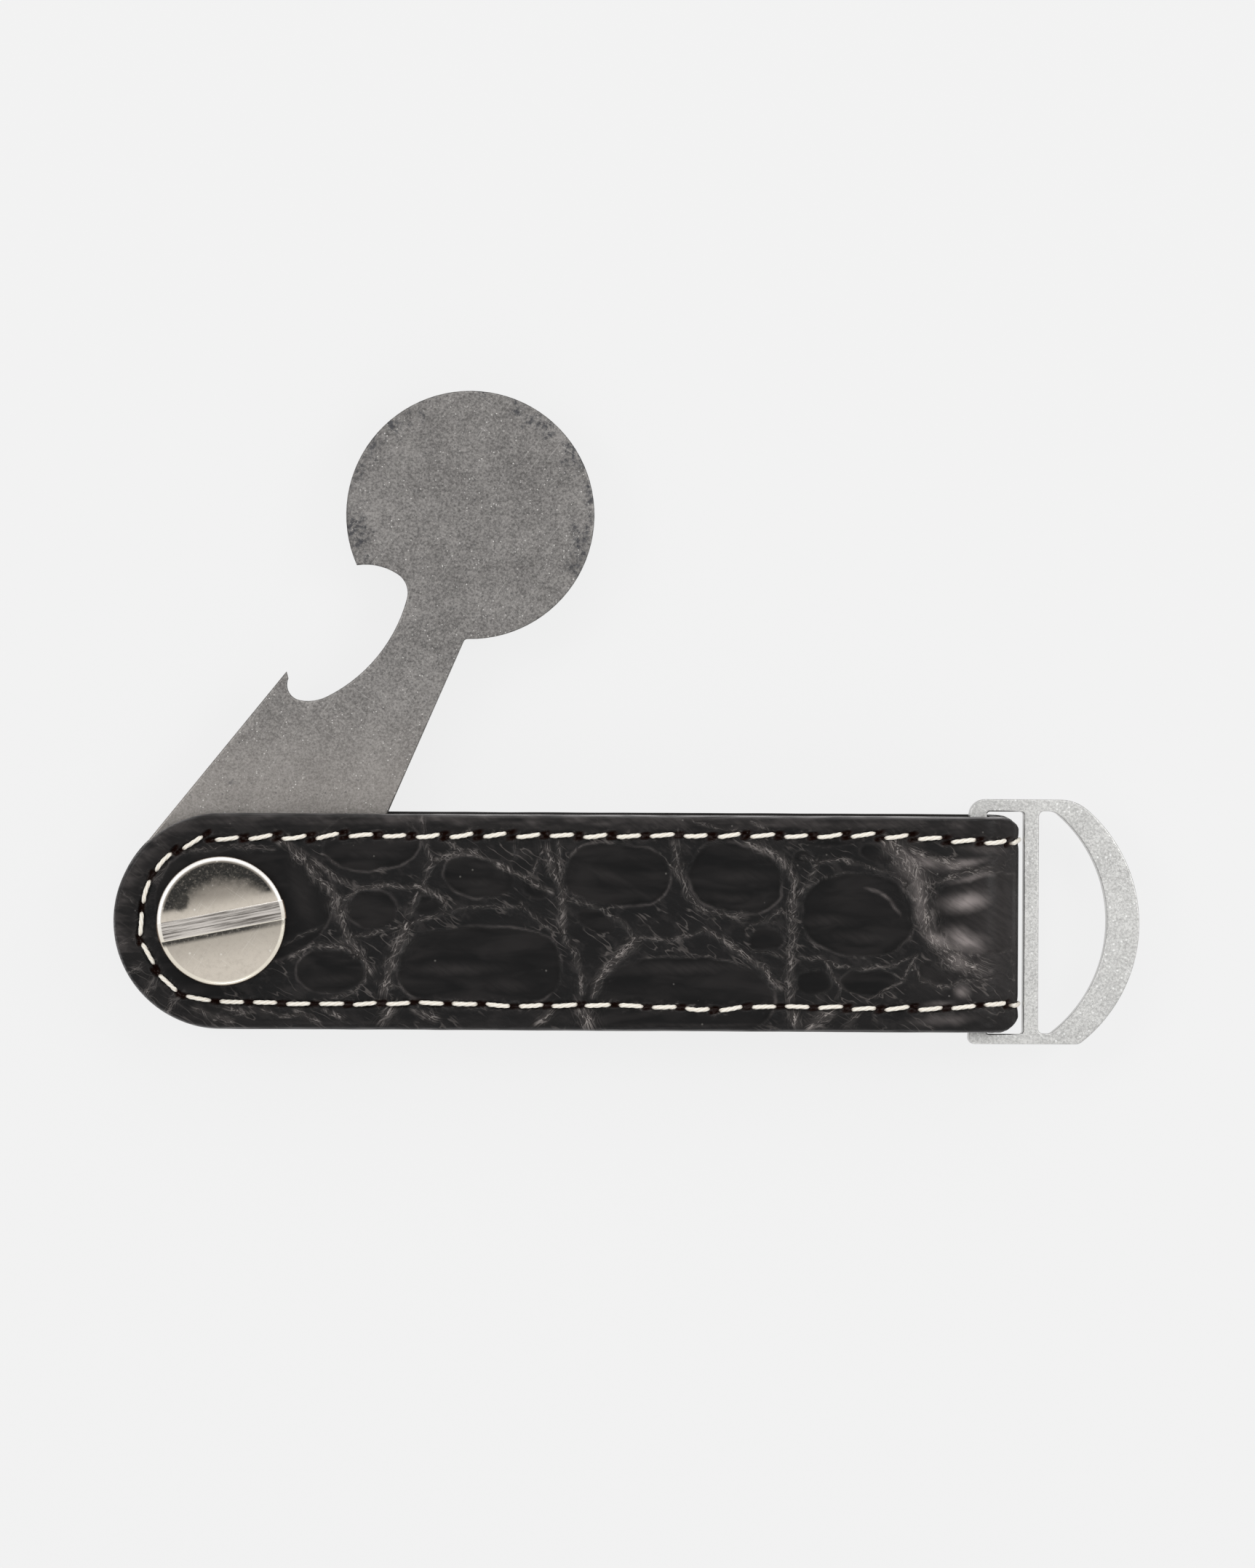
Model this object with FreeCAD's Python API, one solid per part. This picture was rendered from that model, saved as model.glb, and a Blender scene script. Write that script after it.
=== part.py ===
"""Key organiser: a folded leather strap, a coin-slotted screw and post, a pivoting token and
bottle opener, and a flat D-shaped loop held in the fold.

Frame: millimetres. The origin is on the pivot axis, in the back face of the post's head, which is
the face that the organiser lies on. +X runs along the strap to the loop, +Y to the side that the
tool swings out on, +Z up through the screw's head.
"""

import FreeCAD, Part
import math
import os

from FreeCAD import Base

V = Base.Vector
UP = V(0, 0, 1)
AXIS_Y = V(0, 1, 0)

# ---- strap: one strip of three layers, folded round the loop's bar ----
STRAP_HALF_WIDTH = 10.1
OUTER_LEATHER = 1.0          # embossed hide
STIFFENER = 0.4              # bonded sheet between hide and lining
LINING_LEATHER = 1.0
EDGE_ROUND = 0.5             # burnished edge of the hide
FOLD_CENTRE_X = 70.8         # the fold is round this line

# ---- tool: a plate between the leaves ----
TOOL_THICKNESS = 2.0
TOOL_ANGLE = 58.7            # degrees from the strap, as it is swung out
TOOL_BASE_RADIUS = 10.1      # rounded end, concentric with the pivot
TOOL_TAPER = 7.7             # degrees that each side leans in
TOKEN_RADIUS = 11.62         # a one-euro coin is 23.25 mm across
TOKEN_DISTANCE = 44.55       # pivot to the token's centre
TOKEN_OFFSET = 0.1
TOOL_EDGE = 0.18             # rounded edge of the plate
TOKEN_JUNCTION_ROUND = 0.4
HOOK_ALONG = 23.05           # pivot to the opener's hook, along the tool
LIP_ANGLE = 145.5            # place of the opener's lip round the token's rim
NOTCH_HEADING = -171.9       # the way the notch sets off from the hook's tip

# ---- pivot screw and post ----
HEAD_RADIUS = 6.08
HEAD_HEIGHT = 1.4
HEAD_EDGE = 0.42
SLOT_WIDTH = 1.74
SLOT_DEPTH = 0.75
SLOT_ANGLE = 11.0
BARREL_RADIUS = 2.75
THREAD_RADIUS = 2.0          # M4, drawn as a plain cylinder
THREAD_CLEARANCE = 0.05
SHANK_LENGTH = 6.0
SHANK_TIP = 0.3
BORE_SPARE = 0.9             # depth of the bore below the screw's tip
BARREL_SHORT = 0.2           # the barrel ends below the hide, so the heads clamp it
PIVOT_CLEARANCE = 0.05       # tool on the barrel, radial

# ---- washers ----
WASHER_THICKNESS = 0.3
WASHER_RADIUS = 5.0
WASHER_CLEARANCE = 0.1       # on the barrel, radial
TOOL_SIDE_CLEARANCE = 0.05   # tool to each washer
HEAD_WASHER_INSET = 0.48     # under the head's edge

# ---- loop: a flat plate with a bar, a slot for the strap and a D opening ----
LOOP_THICKNESS = 1.6
LOOP_DROOP = 5.3             # degrees that the far end hangs below the strap's plane
LOOP_BAR_WIDTH = 1.6
LOOP_BAR_OFFSET = -0.1       # bar centre from the fold's centre, along X
LOOP_BAR_ROUND = 0.35
LOOP_MID_CLEARANCE = 0.3     # middle bar to the stitches round the fold
LOOP_MID_WIDTH = 1.4
LOOP_ARM_TOP = 1.15
LOOP_ARM_BOTTOM = 0.95
SLOT_CLEAR_TOP = 0.5         # slot to the strap's edge
SLOT_CLEAR_BOTTOM = 0.12
LOOP_BOW_SPARE = 2.64        # radius of the D over half the plate's height
LOOP_BOW_CENTRE = 1.1        # centre of the D beyond the bar's, along X
LOOP_BOW_CENTRE_Y = 0.1
LOOP_EYE_SPARE = 1.66        # radius of the eye over half the plate's height
LOOP_EYE_CENTRE_Y = 0.35
LOOP_RIM = 3.05              # width of the rim at its middle
LOOP_EYE_ARM_TOP = 1.1
LOOP_EYE_ARM_BOTTOM = 1.0
LOOP_EDGE = 0.12
CORNER_TOP = 1.5
CORNER_BOTTOM = 0.6
BOW_BLEND_TOP = 4.0
BOW_BLEND_BOTTOM = 0.9
EYE_BLEND_TOP = 1.2
EYE_BLEND_BOTTOM = 0.5
SLOT_CORNER = 0.3

# ---- seam: a lock stitch round both leaves ----
SEAM_INSET = 2.3             # seam line from the strap's edge
STITCH_PITCH = 3.13
STITCH_LENGTH = 2.1
STITCH_WIDTH = 0.45
STITCH_HEIGHT = 0.15
STITCHES_ROUND_END = 7
STITCHES_ROUND_FOLD = 4

# ---- heights that follow from the sizes above ----
LEAF = OUTER_LEATHER + STIFFENER + LINING_LEATHER
GAP = TOOL_THICKNESS + 2 * (WASHER_THICKNESS + TOOL_SIDE_CLEARANCE)
FOLD_INNER_RADIUS = GAP / 2
FOLD_OUTER_RADIUS = FOLD_INNER_RADIUS + LEAF
Z_REAR = HEAD_HEIGHT                     # back of the rear leaf
Z_MID = Z_REAR + LEAF + GAP / 2          # middle of the gap
Z_FRONT = Z_REAR + 2 * LEAF + GAP        # face of the front leaf
Z_HEAD = Z_FRONT + WASHER_THICKNESS      # underside of the screw's head
BAR_X = FOLD_CENTRE_X + LOOP_BAR_OFFSET
SEAM_Y = STRAP_HALF_WIDTH - SEAM_INSET


def cylinder(radius, z_low, z_high, x=0.0, y=0.0):
    """Upright cylinder between two heights."""
    return Part.makeCylinder(radius, z_high - z_low, V(x, y, z_low))


def ring(radius, bore, z_low, z_high):
    """Upright tube round the pivot axis."""
    return cylinder(radius, z_low, z_high).cut(cylinder(bore, z_low, z_high))


def block(x_low, x_high, y_low, y_high, z_low, z_high):
    """Box between two corners."""
    return Part.makeBox(x_high - x_low, y_high - y_low, z_high - z_low, V(x_low, y_low, z_low))


def prism(edges, z_low, z_high):
    """Solid between two heights on a closed outline of edges drawn at z = 0."""
    face = Part.Face(Part.Wire(edges))
    face.translate(V(0, 0, z_low))
    return face.extrude(V(0, 0, z_high - z_low))


def line(start, end):
    """Straight edge."""
    return Part.LineSegment(start, end).toShape()


def arc(start, middle, end):
    """Edge on the circle through three points."""
    return Part.Arc(start, middle, end).toShape()


def smooth_arcs(points, heading):
    """Arcs through points in turn, each leaving its point the way the last one arrived.

    The heading, in degrees, is the way the first arc sets off.
    """
    edges = []
    for start, end in zip(points, points[1:]):
        chord = end - start
        bearing = math.degrees(math.atan2(chord.y, chord.x))
        half_turn = (bearing - heading + 180.0) % 360.0 - 180.0
        sagitta = chord.Length / 2 * math.tan(math.radians(half_turn / 2))
        aside = V(chord.y, -chord.x, 0).normalize() * sagitta
        edges.append(arc(start, start + chord * 0.5 + aside, end))
        heading = bearing + half_turn
    return edges


def upright_edges(solid, x, y, reach=0.05):
    """Edges of a solid that stand upright at one place in the plan."""
    found = []
    for edge in solid.Edges:
        middle = edge.BoundBox.Center
        box = edge.BoundBox
        is_upright = box.ZLength > 0.5 * solid.BoundBox.ZLength and box.XLength + box.YLength < reach
        if is_upright and math.hypot(middle.x - x, middle.y - y) < reach:
            found.append(edge)
    return found


def level_edges(solid, z, reach=0.01):
    """Edges of a solid that lie at one height."""
    return [edge for edge in solid.Edges
            if abs(edge.BoundBox.ZMin - z) < reach and abs(edge.BoundBox.ZMax - z) < reach]


# ---------------------------------------------------------------- strap

def folded_layer(inner_radius, outer_radius):
    """One layer of the strap: two leaves joined by half a tube at the fold.

    The radii are those of the layer where it goes round the fold.
    """
    reach = STRAP_HALF_WIDTH
    tube = Part.makeCylinder(outer_radius, 2 * reach, V(FOLD_CENTRE_X, -reach, Z_MID), AXIS_Y)
    tube = tube.cut(Part.makeCylinder(inner_radius, 2 * reach, V(FOLD_CENTRE_X, -reach, Z_MID), AXIS_Y))
    fold = tube.common(block(FOLD_CENTRE_X, FOLD_CENTRE_X + outer_radius, -reach, reach,
                             Z_MID - outer_radius, Z_MID + outer_radius))
    rear = block(-reach, FOLD_CENTRE_X, -reach, reach, Z_MID - outer_radius, Z_MID - inner_radius)
    front = block(-reach, FOLD_CENTRE_X, -reach, reach, Z_MID + inner_radius, Z_MID + outer_radius)
    layer = fold.fuse([rear, front]).removeSplitter()
    plan = cylinder(reach, 0, 2 * Z_MID).fuse(
        block(0, FOLD_CENTRE_X + outer_radius, -reach, reach, 0, 2 * Z_MID)).removeSplitter()
    return layer.common(plan).cut(cylinder(BARREL_RADIUS, 0, 2 * Z_MID))


def make_outer_leather():
    """Embossed hide, outermost in the fold, with its edge rounded all the way round."""
    layer = folded_layer(FOLD_OUTER_RADIUS - OUTER_LEATHER, FOLD_OUTER_RADIUS)
    rim = []
    for edge in layer.Edges:
        box = edge.BoundBox
        on_face = (abs(box.ZMax - Z_FRONT) < 0.01 and box.ZLength < 0.01) or \
                  (abs(box.ZMin - Z_REAR) < 0.01 and box.ZLength < 0.01)
        round_fold = box.XMax > FOLD_CENTRE_X + FOLD_OUTER_RADIUS - 0.01 and box.YLength < 0.01
        in_hole = box.XLength < 2.1 * BARREL_RADIUS and box.XMax < BARREL_RADIUS + 0.1
        across = box.YLength > 1.9 * STRAP_HALF_WIDTH and box.XLength < 0.01
        if (on_face or round_fold) and not in_hole and not across:
            rim.append(edge)
    return layer.makeFillet(EDGE_ROUND, rim)


def make_stiffener():
    """Thin bonded sheet between hide and lining."""
    inner = FOLD_INNER_RADIUS + LINING_LEATHER
    return folded_layer(inner, inner + STIFFENER)


def make_lining_leather():
    """Smooth leather on the inside of both leaves."""
    return folded_layer(FOLD_INNER_RADIUS, FOLD_INNER_RADIUS + LINING_LEATHER)


# ---------------------------------------------------------------- seam

def flat_stitch(x, y, heading, z_low):
    """One stitch lying on a level face: a bar with round ends."""
    half = (STITCH_LENGTH - STITCH_WIDTH) / 2
    radius = STITCH_WIDTH / 2
    edges = [line(V(-half, -radius, 0), V(half, -radius, 0)),
             arc(V(half, -radius, 0), V(half + radius, 0, 0), V(half, radius, 0)),
             line(V(half, radius, 0), V(-half, radius, 0)),
             arc(V(-half, radius, 0), V(-half - radius, 0, 0), V(-half, -radius, 0))]
    stitch = prism(edges, 0, STITCH_HEIGHT)
    stitch.rotate(V(0, 0, 0), UP, heading)
    stitch.translate(V(x, y, z_low))
    return stitch


def fold_stitch(y, angle):
    """One stitch bent round the outside of the fold; the angle is from the front leaf's face."""
    span = math.degrees(STITCH_LENGTH / FOLD_OUTER_RADIUS)
    profile = Part.Face(Part.makePolygon([
        V(0, y - STITCH_WIDTH / 2, FOLD_OUTER_RADIUS), V(0, y + STITCH_WIDTH / 2, FOLD_OUTER_RADIUS),
        V(0, y + STITCH_WIDTH / 2, FOLD_OUTER_RADIUS + STITCH_HEIGHT),
        V(0, y - STITCH_WIDTH / 2, FOLD_OUTER_RADIUS + STITCH_HEIGHT),
        V(0, y - STITCH_WIDTH / 2, FOLD_OUTER_RADIUS)]))
    stitch = profile.revolve(V(0, 0, 0), AXIS_Y, span)
    stitch.rotate(V(0, 0, 0), AXIS_Y, angle - span / 2)
    stitch.translate(V(FOLD_CENTRE_X, 0, Z_MID))
    return stitch


def leaf_places():
    """Places (x, y, heading) of the stitches on one flat leaf."""
    first = FOLD_CENTRE_X - STITCH_PITCH / 2
    count = int(first // STITCH_PITCH) + 1
    places = []
    for side in (-1, 1):
        for index in range(count):
            places.append((first - index * STITCH_PITCH, side * SEAM_Y, 0.0))
    step = 180.0 / (STITCHES_ROUND_END + 1)
    for index in range(STITCHES_ROUND_END):
        angle = 90.0 + (index + 1) * step
        turn = math.radians(angle)
        places.append((SEAM_Y * math.cos(turn), SEAM_Y * math.sin(turn), angle + 90.0))
    return places


def make_seam_outer_thread():
    """Needle thread: the stitches that show on the hide, on both leaves and round the fold."""
    stitches = []
    for x, y, heading in leaf_places():
        stitches.append(flat_stitch(x, y, heading, Z_FRONT))
        stitches.append(flat_stitch(x, y, heading, Z_REAR - STITCH_HEIGHT))
    step = 180.0 / STITCHES_ROUND_FOLD
    for side in (-1, 1):
        for index in range(STITCHES_ROUND_FOLD):
            stitches.append(fold_stitch(side * SEAM_Y, (index + 0.5) * step))
    return Part.makeCompound(stitches)


def make_seam_inner_thread():
    """Bobbin thread: the stitches on the lining, inside both leaves."""
    stitches = []
    for x, y, heading in leaf_places():
        stitches.append(flat_stitch(x, y, heading, Z_MID - FOLD_INNER_RADIUS))
        stitches.append(flat_stitch(x, y, heading, Z_MID + FOLD_INNER_RADIUS - STITCH_HEIGHT))
    return Part.makeCompound(stitches)


# ---------------------------------------------------------------- pivot

def make_screw_post():
    """Post: a plain round head at the back and a threaded barrel through both leaves."""
    head = cylinder(HEAD_RADIUS, 0, HEAD_HEIGHT)
    head = head.makeFillet(HEAD_EDGE, level_edges(head, 0.0))
    barrel_top = Z_FRONT - BARREL_SHORT
    bore_floor = Z_HEAD - SHANK_LENGTH - BORE_SPARE
    barrel = cylinder(BARREL_RADIUS, HEAD_HEIGHT, barrel_top)
    bore = cylinder(THREAD_RADIUS + THREAD_CLEARANCE, bore_floor, barrel_top)
    return head.fuse(barrel).removeSplitter().cut(bore)


def make_pivot_screw():
    """Screw: a flat head with a rounded rim and a coin slot right across it, and an M4 shank."""
    head_top = Z_HEAD + HEAD_HEIGHT
    head = cylinder(HEAD_RADIUS, Z_HEAD, head_top)
    head = head.makeFillet(HEAD_EDGE, level_edges(head, head_top))
    slot = block(-HEAD_RADIUS - 1, HEAD_RADIUS + 1, -SLOT_WIDTH / 2, SLOT_WIDTH / 2,
                 head_top - SLOT_DEPTH, head_top + 1)
    slot.rotate(V(0, 0, 0), UP, SLOT_ANGLE)
    shank = cylinder(THREAD_RADIUS, Z_HEAD - SHANK_LENGTH, Z_HEAD)
    shank = shank.makeChamfer(SHANK_TIP, level_edges(shank, Z_HEAD - SHANK_LENGTH))
    return head.cut(slot).fuse(shank).removeSplitter()


def make_head_washer():
    """Thin fibre washer that keeps the screw's head off the hide; it lifts with the screw."""
    radius = HEAD_RADIUS - HEAD_WASHER_INSET
    return ring(radius, THREAD_RADIUS + WASHER_CLEARANCE, Z_FRONT, Z_HEAD)


def make_rear_washer():
    """Slip washer between the rear lining and the tool."""
    low = Z_MID - FOLD_INNER_RADIUS
    return ring(WASHER_RADIUS, BARREL_RADIUS + WASHER_CLEARANCE, low, low + WASHER_THICKNESS)


def make_front_washer():
    """Slip washer between the tool and the front lining."""
    high = Z_MID + FOLD_INNER_RADIUS
    return ring(WASHER_RADIUS, BARREL_RADIUS + WASHER_CLEARANCE, high - WASHER_THICKNESS, high)


# ---------------------------------------------------------------- tool

def tool_outline():
    """Outline of the tool with its axis along +X and its pivot at the origin.

    It runs up the left side to the hook, round the opener's notch to the lip, over the token,
    down the right side and round the base. The place where the right side meets the token is
    returned as well.
    """
    lean = math.radians(TOOL_TAPER)

    def side_point(along, hand):
        """Point on the left (hand 1) or right (hand -1) side of the tapering neck."""
        return V(along, hand * (TOOL_BASE_RADIUS / math.cos(lean) - along * math.tan(lean)), 0)

    def on_token(angle):
        """Point on the token's rim, by its angle from the tool's axis in degrees."""
        turn = math.radians(angle)
        return V(TOKEN_DISTANCE + TOKEN_RADIUS * math.cos(turn),
                 TOKEN_OFFSET + TOKEN_RADIUS * math.sin(turn), 0)

    base_along = TOOL_BASE_RADIUS * math.sin(lean)
    hook_tip = side_point(HOOK_ALONG, 1)
    lip_tip = on_token(LIP_ANGLE)
    # where the right side runs into the token's rim: a line and a circle
    slope = math.tan(lean)
    drop = -TOOL_BASE_RADIUS / math.cos(lean) - TOKEN_OFFSET
    a = 1 + slope ** 2
    b = 2 * (slope * drop - TOKEN_DISTANCE)
    c = TOKEN_DISTANCE ** 2 + drop ** 2 - TOKEN_RADIUS ** 2
    junction = side_point((-b - math.sqrt(b * b - 4 * a * c)) / (2 * a), -1)
    notch = [hook_tip + V(-0.45, -0.48, 0), hook_tip + V(-1.63, -2.48, 0), hook_tip + V(0, -4.46, 0),
             lip_tip + V(-0.22, -5.63, 0), lip_tip + V(1.28, -3.68, 0), lip_tip]
    sides = [
        line(side_point(base_along, 1), hook_tip),
        line(hook_tip, notch[0]),
        *smooth_arcs(notch, NOTCH_HEADING),
        arc(lip_tip, on_token(0), junction),
        line(junction, side_point(base_along, -1)),
        arc(side_point(base_along, -1), V(-TOOL_BASE_RADIUS, 0, 0), side_point(base_along, 1)),
    ]
    return sides, junction


def make_token_opener():
    """Flat steel tool: a pivot eye, a bottle opener's notch and a coin-sized token."""
    edges, junction = tool_outline()
    low = Z_MID - TOOL_THICKNESS / 2
    high = Z_MID + TOOL_THICKNESS / 2
    tool = prism(edges, low, high)
    tool = tool.makeFillet(TOKEN_JUNCTION_ROUND, upright_edges(tool, junction.x, junction.y))
    tool = tool.makeFillet(TOOL_EDGE, level_edges(tool, low) + level_edges(tool, high))
    tool = tool.cut(cylinder(BARREL_RADIUS + PIVOT_CLEARANCE, low, high))
    tool.rotate(V(0, 0, 0), UP, TOOL_ANGLE)
    return tool


# ---------------------------------------------------------------- loop

def make_d_loop():
    """Flat loop: a bar in the fold, a slot round the strap, a middle bar and a D-shaped eye."""
    low = Z_MID - LOOP_THICKNESS / 2
    high = Z_MID + LOOP_THICKNESS / 2
    left = BAR_X - LOOP_BAR_WIDTH / 2
    slot_left = BAR_X + LOOP_BAR_WIDTH / 2
    slot_right = FOLD_CENTRE_X + FOLD_OUTER_RADIUS + STITCH_HEIGHT + LOOP_MID_CLEARANCE
    slot_top = STRAP_HALF_WIDTH + SLOT_CLEAR_TOP
    slot_bottom = -STRAP_HALF_WIDTH - SLOT_CLEAR_BOTTOM
    top = slot_top + LOOP_ARM_TOP
    bottom = slot_bottom - LOOP_ARM_BOTTOM
    eye_left = slot_right + LOOP_MID_WIDTH
    eye_top = top - LOOP_EYE_ARM_TOP
    eye_bottom = bottom + LOOP_EYE_ARM_BOTTOM
    half_height = (top - bottom) / 2
    bow_radius = half_height + LOOP_BOW_SPARE
    bow_x = BAR_X + LOOP_BOW_CENTRE
    far_x = bow_x + bow_radius
    eye_radius = half_height + LOOP_EYE_SPARE
    eye_x = far_x - LOOP_RIM - eye_radius

    def on_circle(centre_x, centre_y, radius, y):
        """X of the right-hand point of a circle at one Y."""
        return centre_x + math.sqrt(radius ** 2 - (y - centre_y) ** 2)

    plate = cylinder(bow_radius, low, high, bow_x, LOOP_BOW_CENTRE_Y)
    plate = plate.common(block(left, far_x, bottom, top, low, high))
    rounds = [(CORNER_TOP, left, top), (CORNER_BOTTOM, left, bottom),
              (BOW_BLEND_TOP, on_circle(bow_x, LOOP_BOW_CENTRE_Y, bow_radius, top), top),
              (BOW_BLEND_BOTTOM, on_circle(bow_x, LOOP_BOW_CENTRE_Y, bow_radius, bottom), bottom)]
    for radius, x, y in rounds:
        plate = plate.makeFillet(radius, upright_edges(plate, x, y))

    eye = cylinder(eye_radius, low, high, eye_x, LOOP_EYE_CENTRE_Y)
    eye = eye.common(block(eye_left, far_x, eye_bottom, eye_top, low, high))
    rounds = [(EYE_BLEND_BOTTOM, eye_left, eye_top), (EYE_BLEND_BOTTOM, eye_left, eye_bottom),
              (EYE_BLEND_TOP, on_circle(eye_x, LOOP_EYE_CENTRE_Y, eye_radius, eye_top), eye_top),
              (EYE_BLEND_BOTTOM, on_circle(eye_x, LOOP_EYE_CENTRE_Y, eye_radius, eye_bottom),
               eye_bottom)]
    for radius, x, y in rounds:
        eye = eye.makeFillet(radius, upright_edges(eye, x, y))

    slot = block(slot_left, slot_right, slot_bottom, slot_top, low, high)
    corners = [(x, y) for x in (slot_left, slot_right) for y in (slot_bottom, slot_top)]
    for x, y in corners:
        slot = slot.makeFillet(SLOT_CORNER, upright_edges(slot, x, y))

    loop = plate.cut(eye).cut(slot)
    loop = loop.makeFillet(LOOP_EDGE, level_edges(loop, low) + level_edges(loop, high))
    loop = round_bar(loop, left, slot_left, slot_bottom, slot_top, low, high)
    loop.rotate(V(BAR_X, 0, Z_MID), AXIS_Y, LOOP_DROOP)
    return loop


def round_bar(loop, left, right, bottom, top, low, high):
    """Round the four long corners of the loop's bar where it lies in the fold."""
    reach = STRAP_HALF_WIDTH
    bar = block(left, right, -reach, reach, low, high)
    long_edges = [e for e in bar.Edges if e.BoundBox.YLength > 1.9 * reach]
    rounded = bar.makeFillet(LOOP_BAR_ROUND, long_edges)
    return loop.cut(bar.cut(rounded))


PARTS = {
    "outer_leather": make_outer_leather,
    "stiffener": make_stiffener,
    "lining_leather": make_lining_leather,
    "seam_outer_thread": make_seam_outer_thread,
    "seam_inner_thread": make_seam_inner_thread,
    "screw_post": make_screw_post,
    "pivot_screw": make_pivot_screw,
    "head_washer": make_head_washer,
    "rear_washer": make_rear_washer,
    "front_washer": make_front_washer,
    "token_opener": make_token_opener,
    "d_loop": make_d_loop,
}

os.makedirs("parts", exist_ok=True)
for name, make in PARTS.items():
    shape = make()
    shape.exportStep("parts/" + name + ".step")
    box = shape.BoundBox
    print("%-18s %3d solids, valid %s, volume %8.2f, x %.2f..%.2f y %.2f..%.2f z %.2f..%.2f" % (
        name, len(shape.Solids), shape.isValid(), shape.Volume, box.XMin, box.XMax, box.YMin,
        box.YMax, box.ZMin, box.ZMax))
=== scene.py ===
"""Looks of a pocket key organiser: a folded strap of embossed hide, a coin-slotted screw and
post, a steel token opener and a flat D-shaped loop.

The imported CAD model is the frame. Every size below is in millimetres and is turned into metres
when a mesh is made. +X runs along the strap to the loop, +Z up through the screw's head.
"""

import logging
import math
from dataclasses import dataclass, field
from enum import Enum
from typing import Any, Callable, Iterable, Sequence

import bmesh
import bpy
import numpy as np
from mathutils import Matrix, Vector


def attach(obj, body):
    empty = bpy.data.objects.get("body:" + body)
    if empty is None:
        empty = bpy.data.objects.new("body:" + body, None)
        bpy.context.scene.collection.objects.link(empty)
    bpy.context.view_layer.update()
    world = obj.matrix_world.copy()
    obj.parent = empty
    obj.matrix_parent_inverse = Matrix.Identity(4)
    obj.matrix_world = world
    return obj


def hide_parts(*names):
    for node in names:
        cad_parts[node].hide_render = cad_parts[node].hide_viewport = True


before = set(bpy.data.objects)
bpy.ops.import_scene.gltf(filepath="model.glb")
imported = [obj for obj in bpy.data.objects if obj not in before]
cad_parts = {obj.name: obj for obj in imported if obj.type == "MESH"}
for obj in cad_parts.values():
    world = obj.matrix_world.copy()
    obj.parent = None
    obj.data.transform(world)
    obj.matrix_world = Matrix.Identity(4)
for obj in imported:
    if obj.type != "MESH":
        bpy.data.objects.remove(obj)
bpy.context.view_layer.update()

MM = 0.001
FAR = 1e9
LOG = logging.getLogger("key_organiser")
Array = np.ndarray
Colour = tuple[float, float, float]
Point = tuple[float, float, float]


class Body(Enum):
    """Bodies that the pieces made here ride on."""

    STRAP = "strap"
    SCREW = "screw"


class Side(Enum):
    """Which side of the strap's layers a row of thread shows on."""

    OUTSIDE = "seam_outer_thread"
    INSIDE = "seam_inner_thread"


# ------------------------------------------------------------------ small tools for numbers


def smooth_step(low: float, high: float, value: Array) -> Array:
    """Ease from 0 at low to 1 at high.

    Args:
        low: Value that gives 0.
        high: Value that gives 1; it may be below low.
        value: Numbers to ease.

    Returns:
        Numbers from 0 to 1.
    """
    t = np.clip((value - low) / (high - low), 0.0, 1.0)
    return t * t * (3.0 - 2.0 * t)


def value_noise(x: Array, y: Array, seed: int) -> Array:
    """Smooth noise over a plane, the same on every run.

    Args:
        x: First coordinate, in cells of the noise.
        y: Second coordinate, in cells of the noise.
        seed: Choice of pattern.

    Returns:
        Numbers from -1 to 1.
    """
    x, y = np.broadcast_arrays(np.asarray(x, float), np.asarray(y, float))
    column, row = np.floor(x).astype(np.int64), np.floor(y).astype(np.int64)
    u, v = x - column, y - row
    u, v = u * u * (3 - 2 * u), v * v * (3 - 2 * v)

    def corner(i: Array, j: Array) -> Array:
        """Random number of one lattice corner.

        Args:
            i: Its column.
            j: Its row.

        Returns:
            Number from -1 to 1.
        """
        mixed = (i * 374761393 + j * 668265263 + seed * 974634777) & 0xFFFFFFFF
        mixed = ((mixed ^ (mixed >> 13)) * 1274126177) & 0xFFFFFFFF
        return ((mixed ^ (mixed >> 16)) & 0xFFFF) / 32767.5 - 1.0

    lower = corner(column, row) * (1 - u) + corner(column + 1, row) * u
    upper = corner(column, row + 1) * (1 - u) + corner(column + 1, row + 1) * u
    return lower * (1 - v) + upper * v


def layered_noise(x: Array, y: Array, seed: int, layers: int = 3) -> Array:
    """Noise with finer layers added, each half as strong as the last.

    Args:
        x: First coordinate, in cells of the coarsest layer.
        y: Second coordinate, in cells of the coarsest layer.
        seed: Choice of pattern.
        layers: How many layers.

    Returns:
        Numbers from about -1 to 1.
    """
    total, weight = np.zeros(np.broadcast(x, y).shape), 0.0
    for layer in range(layers):
        total = total + value_noise(x * 2.0**layer, y * 2.0**layer, seed + layer) * 0.5**layer
        weight += 0.5**layer
    return total / weight


def bell(value: Array, width: Any) -> Array:
    """Bell curve: 1 where the value is 0, and 0.37 a width away."""
    return np.exp(-((value / width) ** 2))


def turned_by(x: Array, y: Array, degrees: float) -> tuple[Array, Array]:
    """Coordinates on axes that are turned anticlockwise.

    Args:
        x: First coordinate.
        y: Second coordinate.
        degrees: Angle of the new axes.

    Returns:
        First and second coordinate on the new axes.
    """
    turn = math.radians(degrees)
    return x * math.cos(turn) + y * math.sin(turn), y * math.cos(turn) - x * math.sin(turn)


def unit(vectors: Array) -> Array:
    """Vectors, N by 3, made 1 long."""
    return vectors / np.linalg.norm(vectors, axis=1)[:, None]


def lift(target: Array, near: Array, values: Array) -> None:
    """Raise a map to at least some values.

    Args:
        target: The map, which is changed.
        near: Which of its numbers the values are for.
        values: The values.
    """
    target[near] = np.maximum(target[near], values)


# ------------------------------------------------------------------ small tools for meshes


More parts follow.
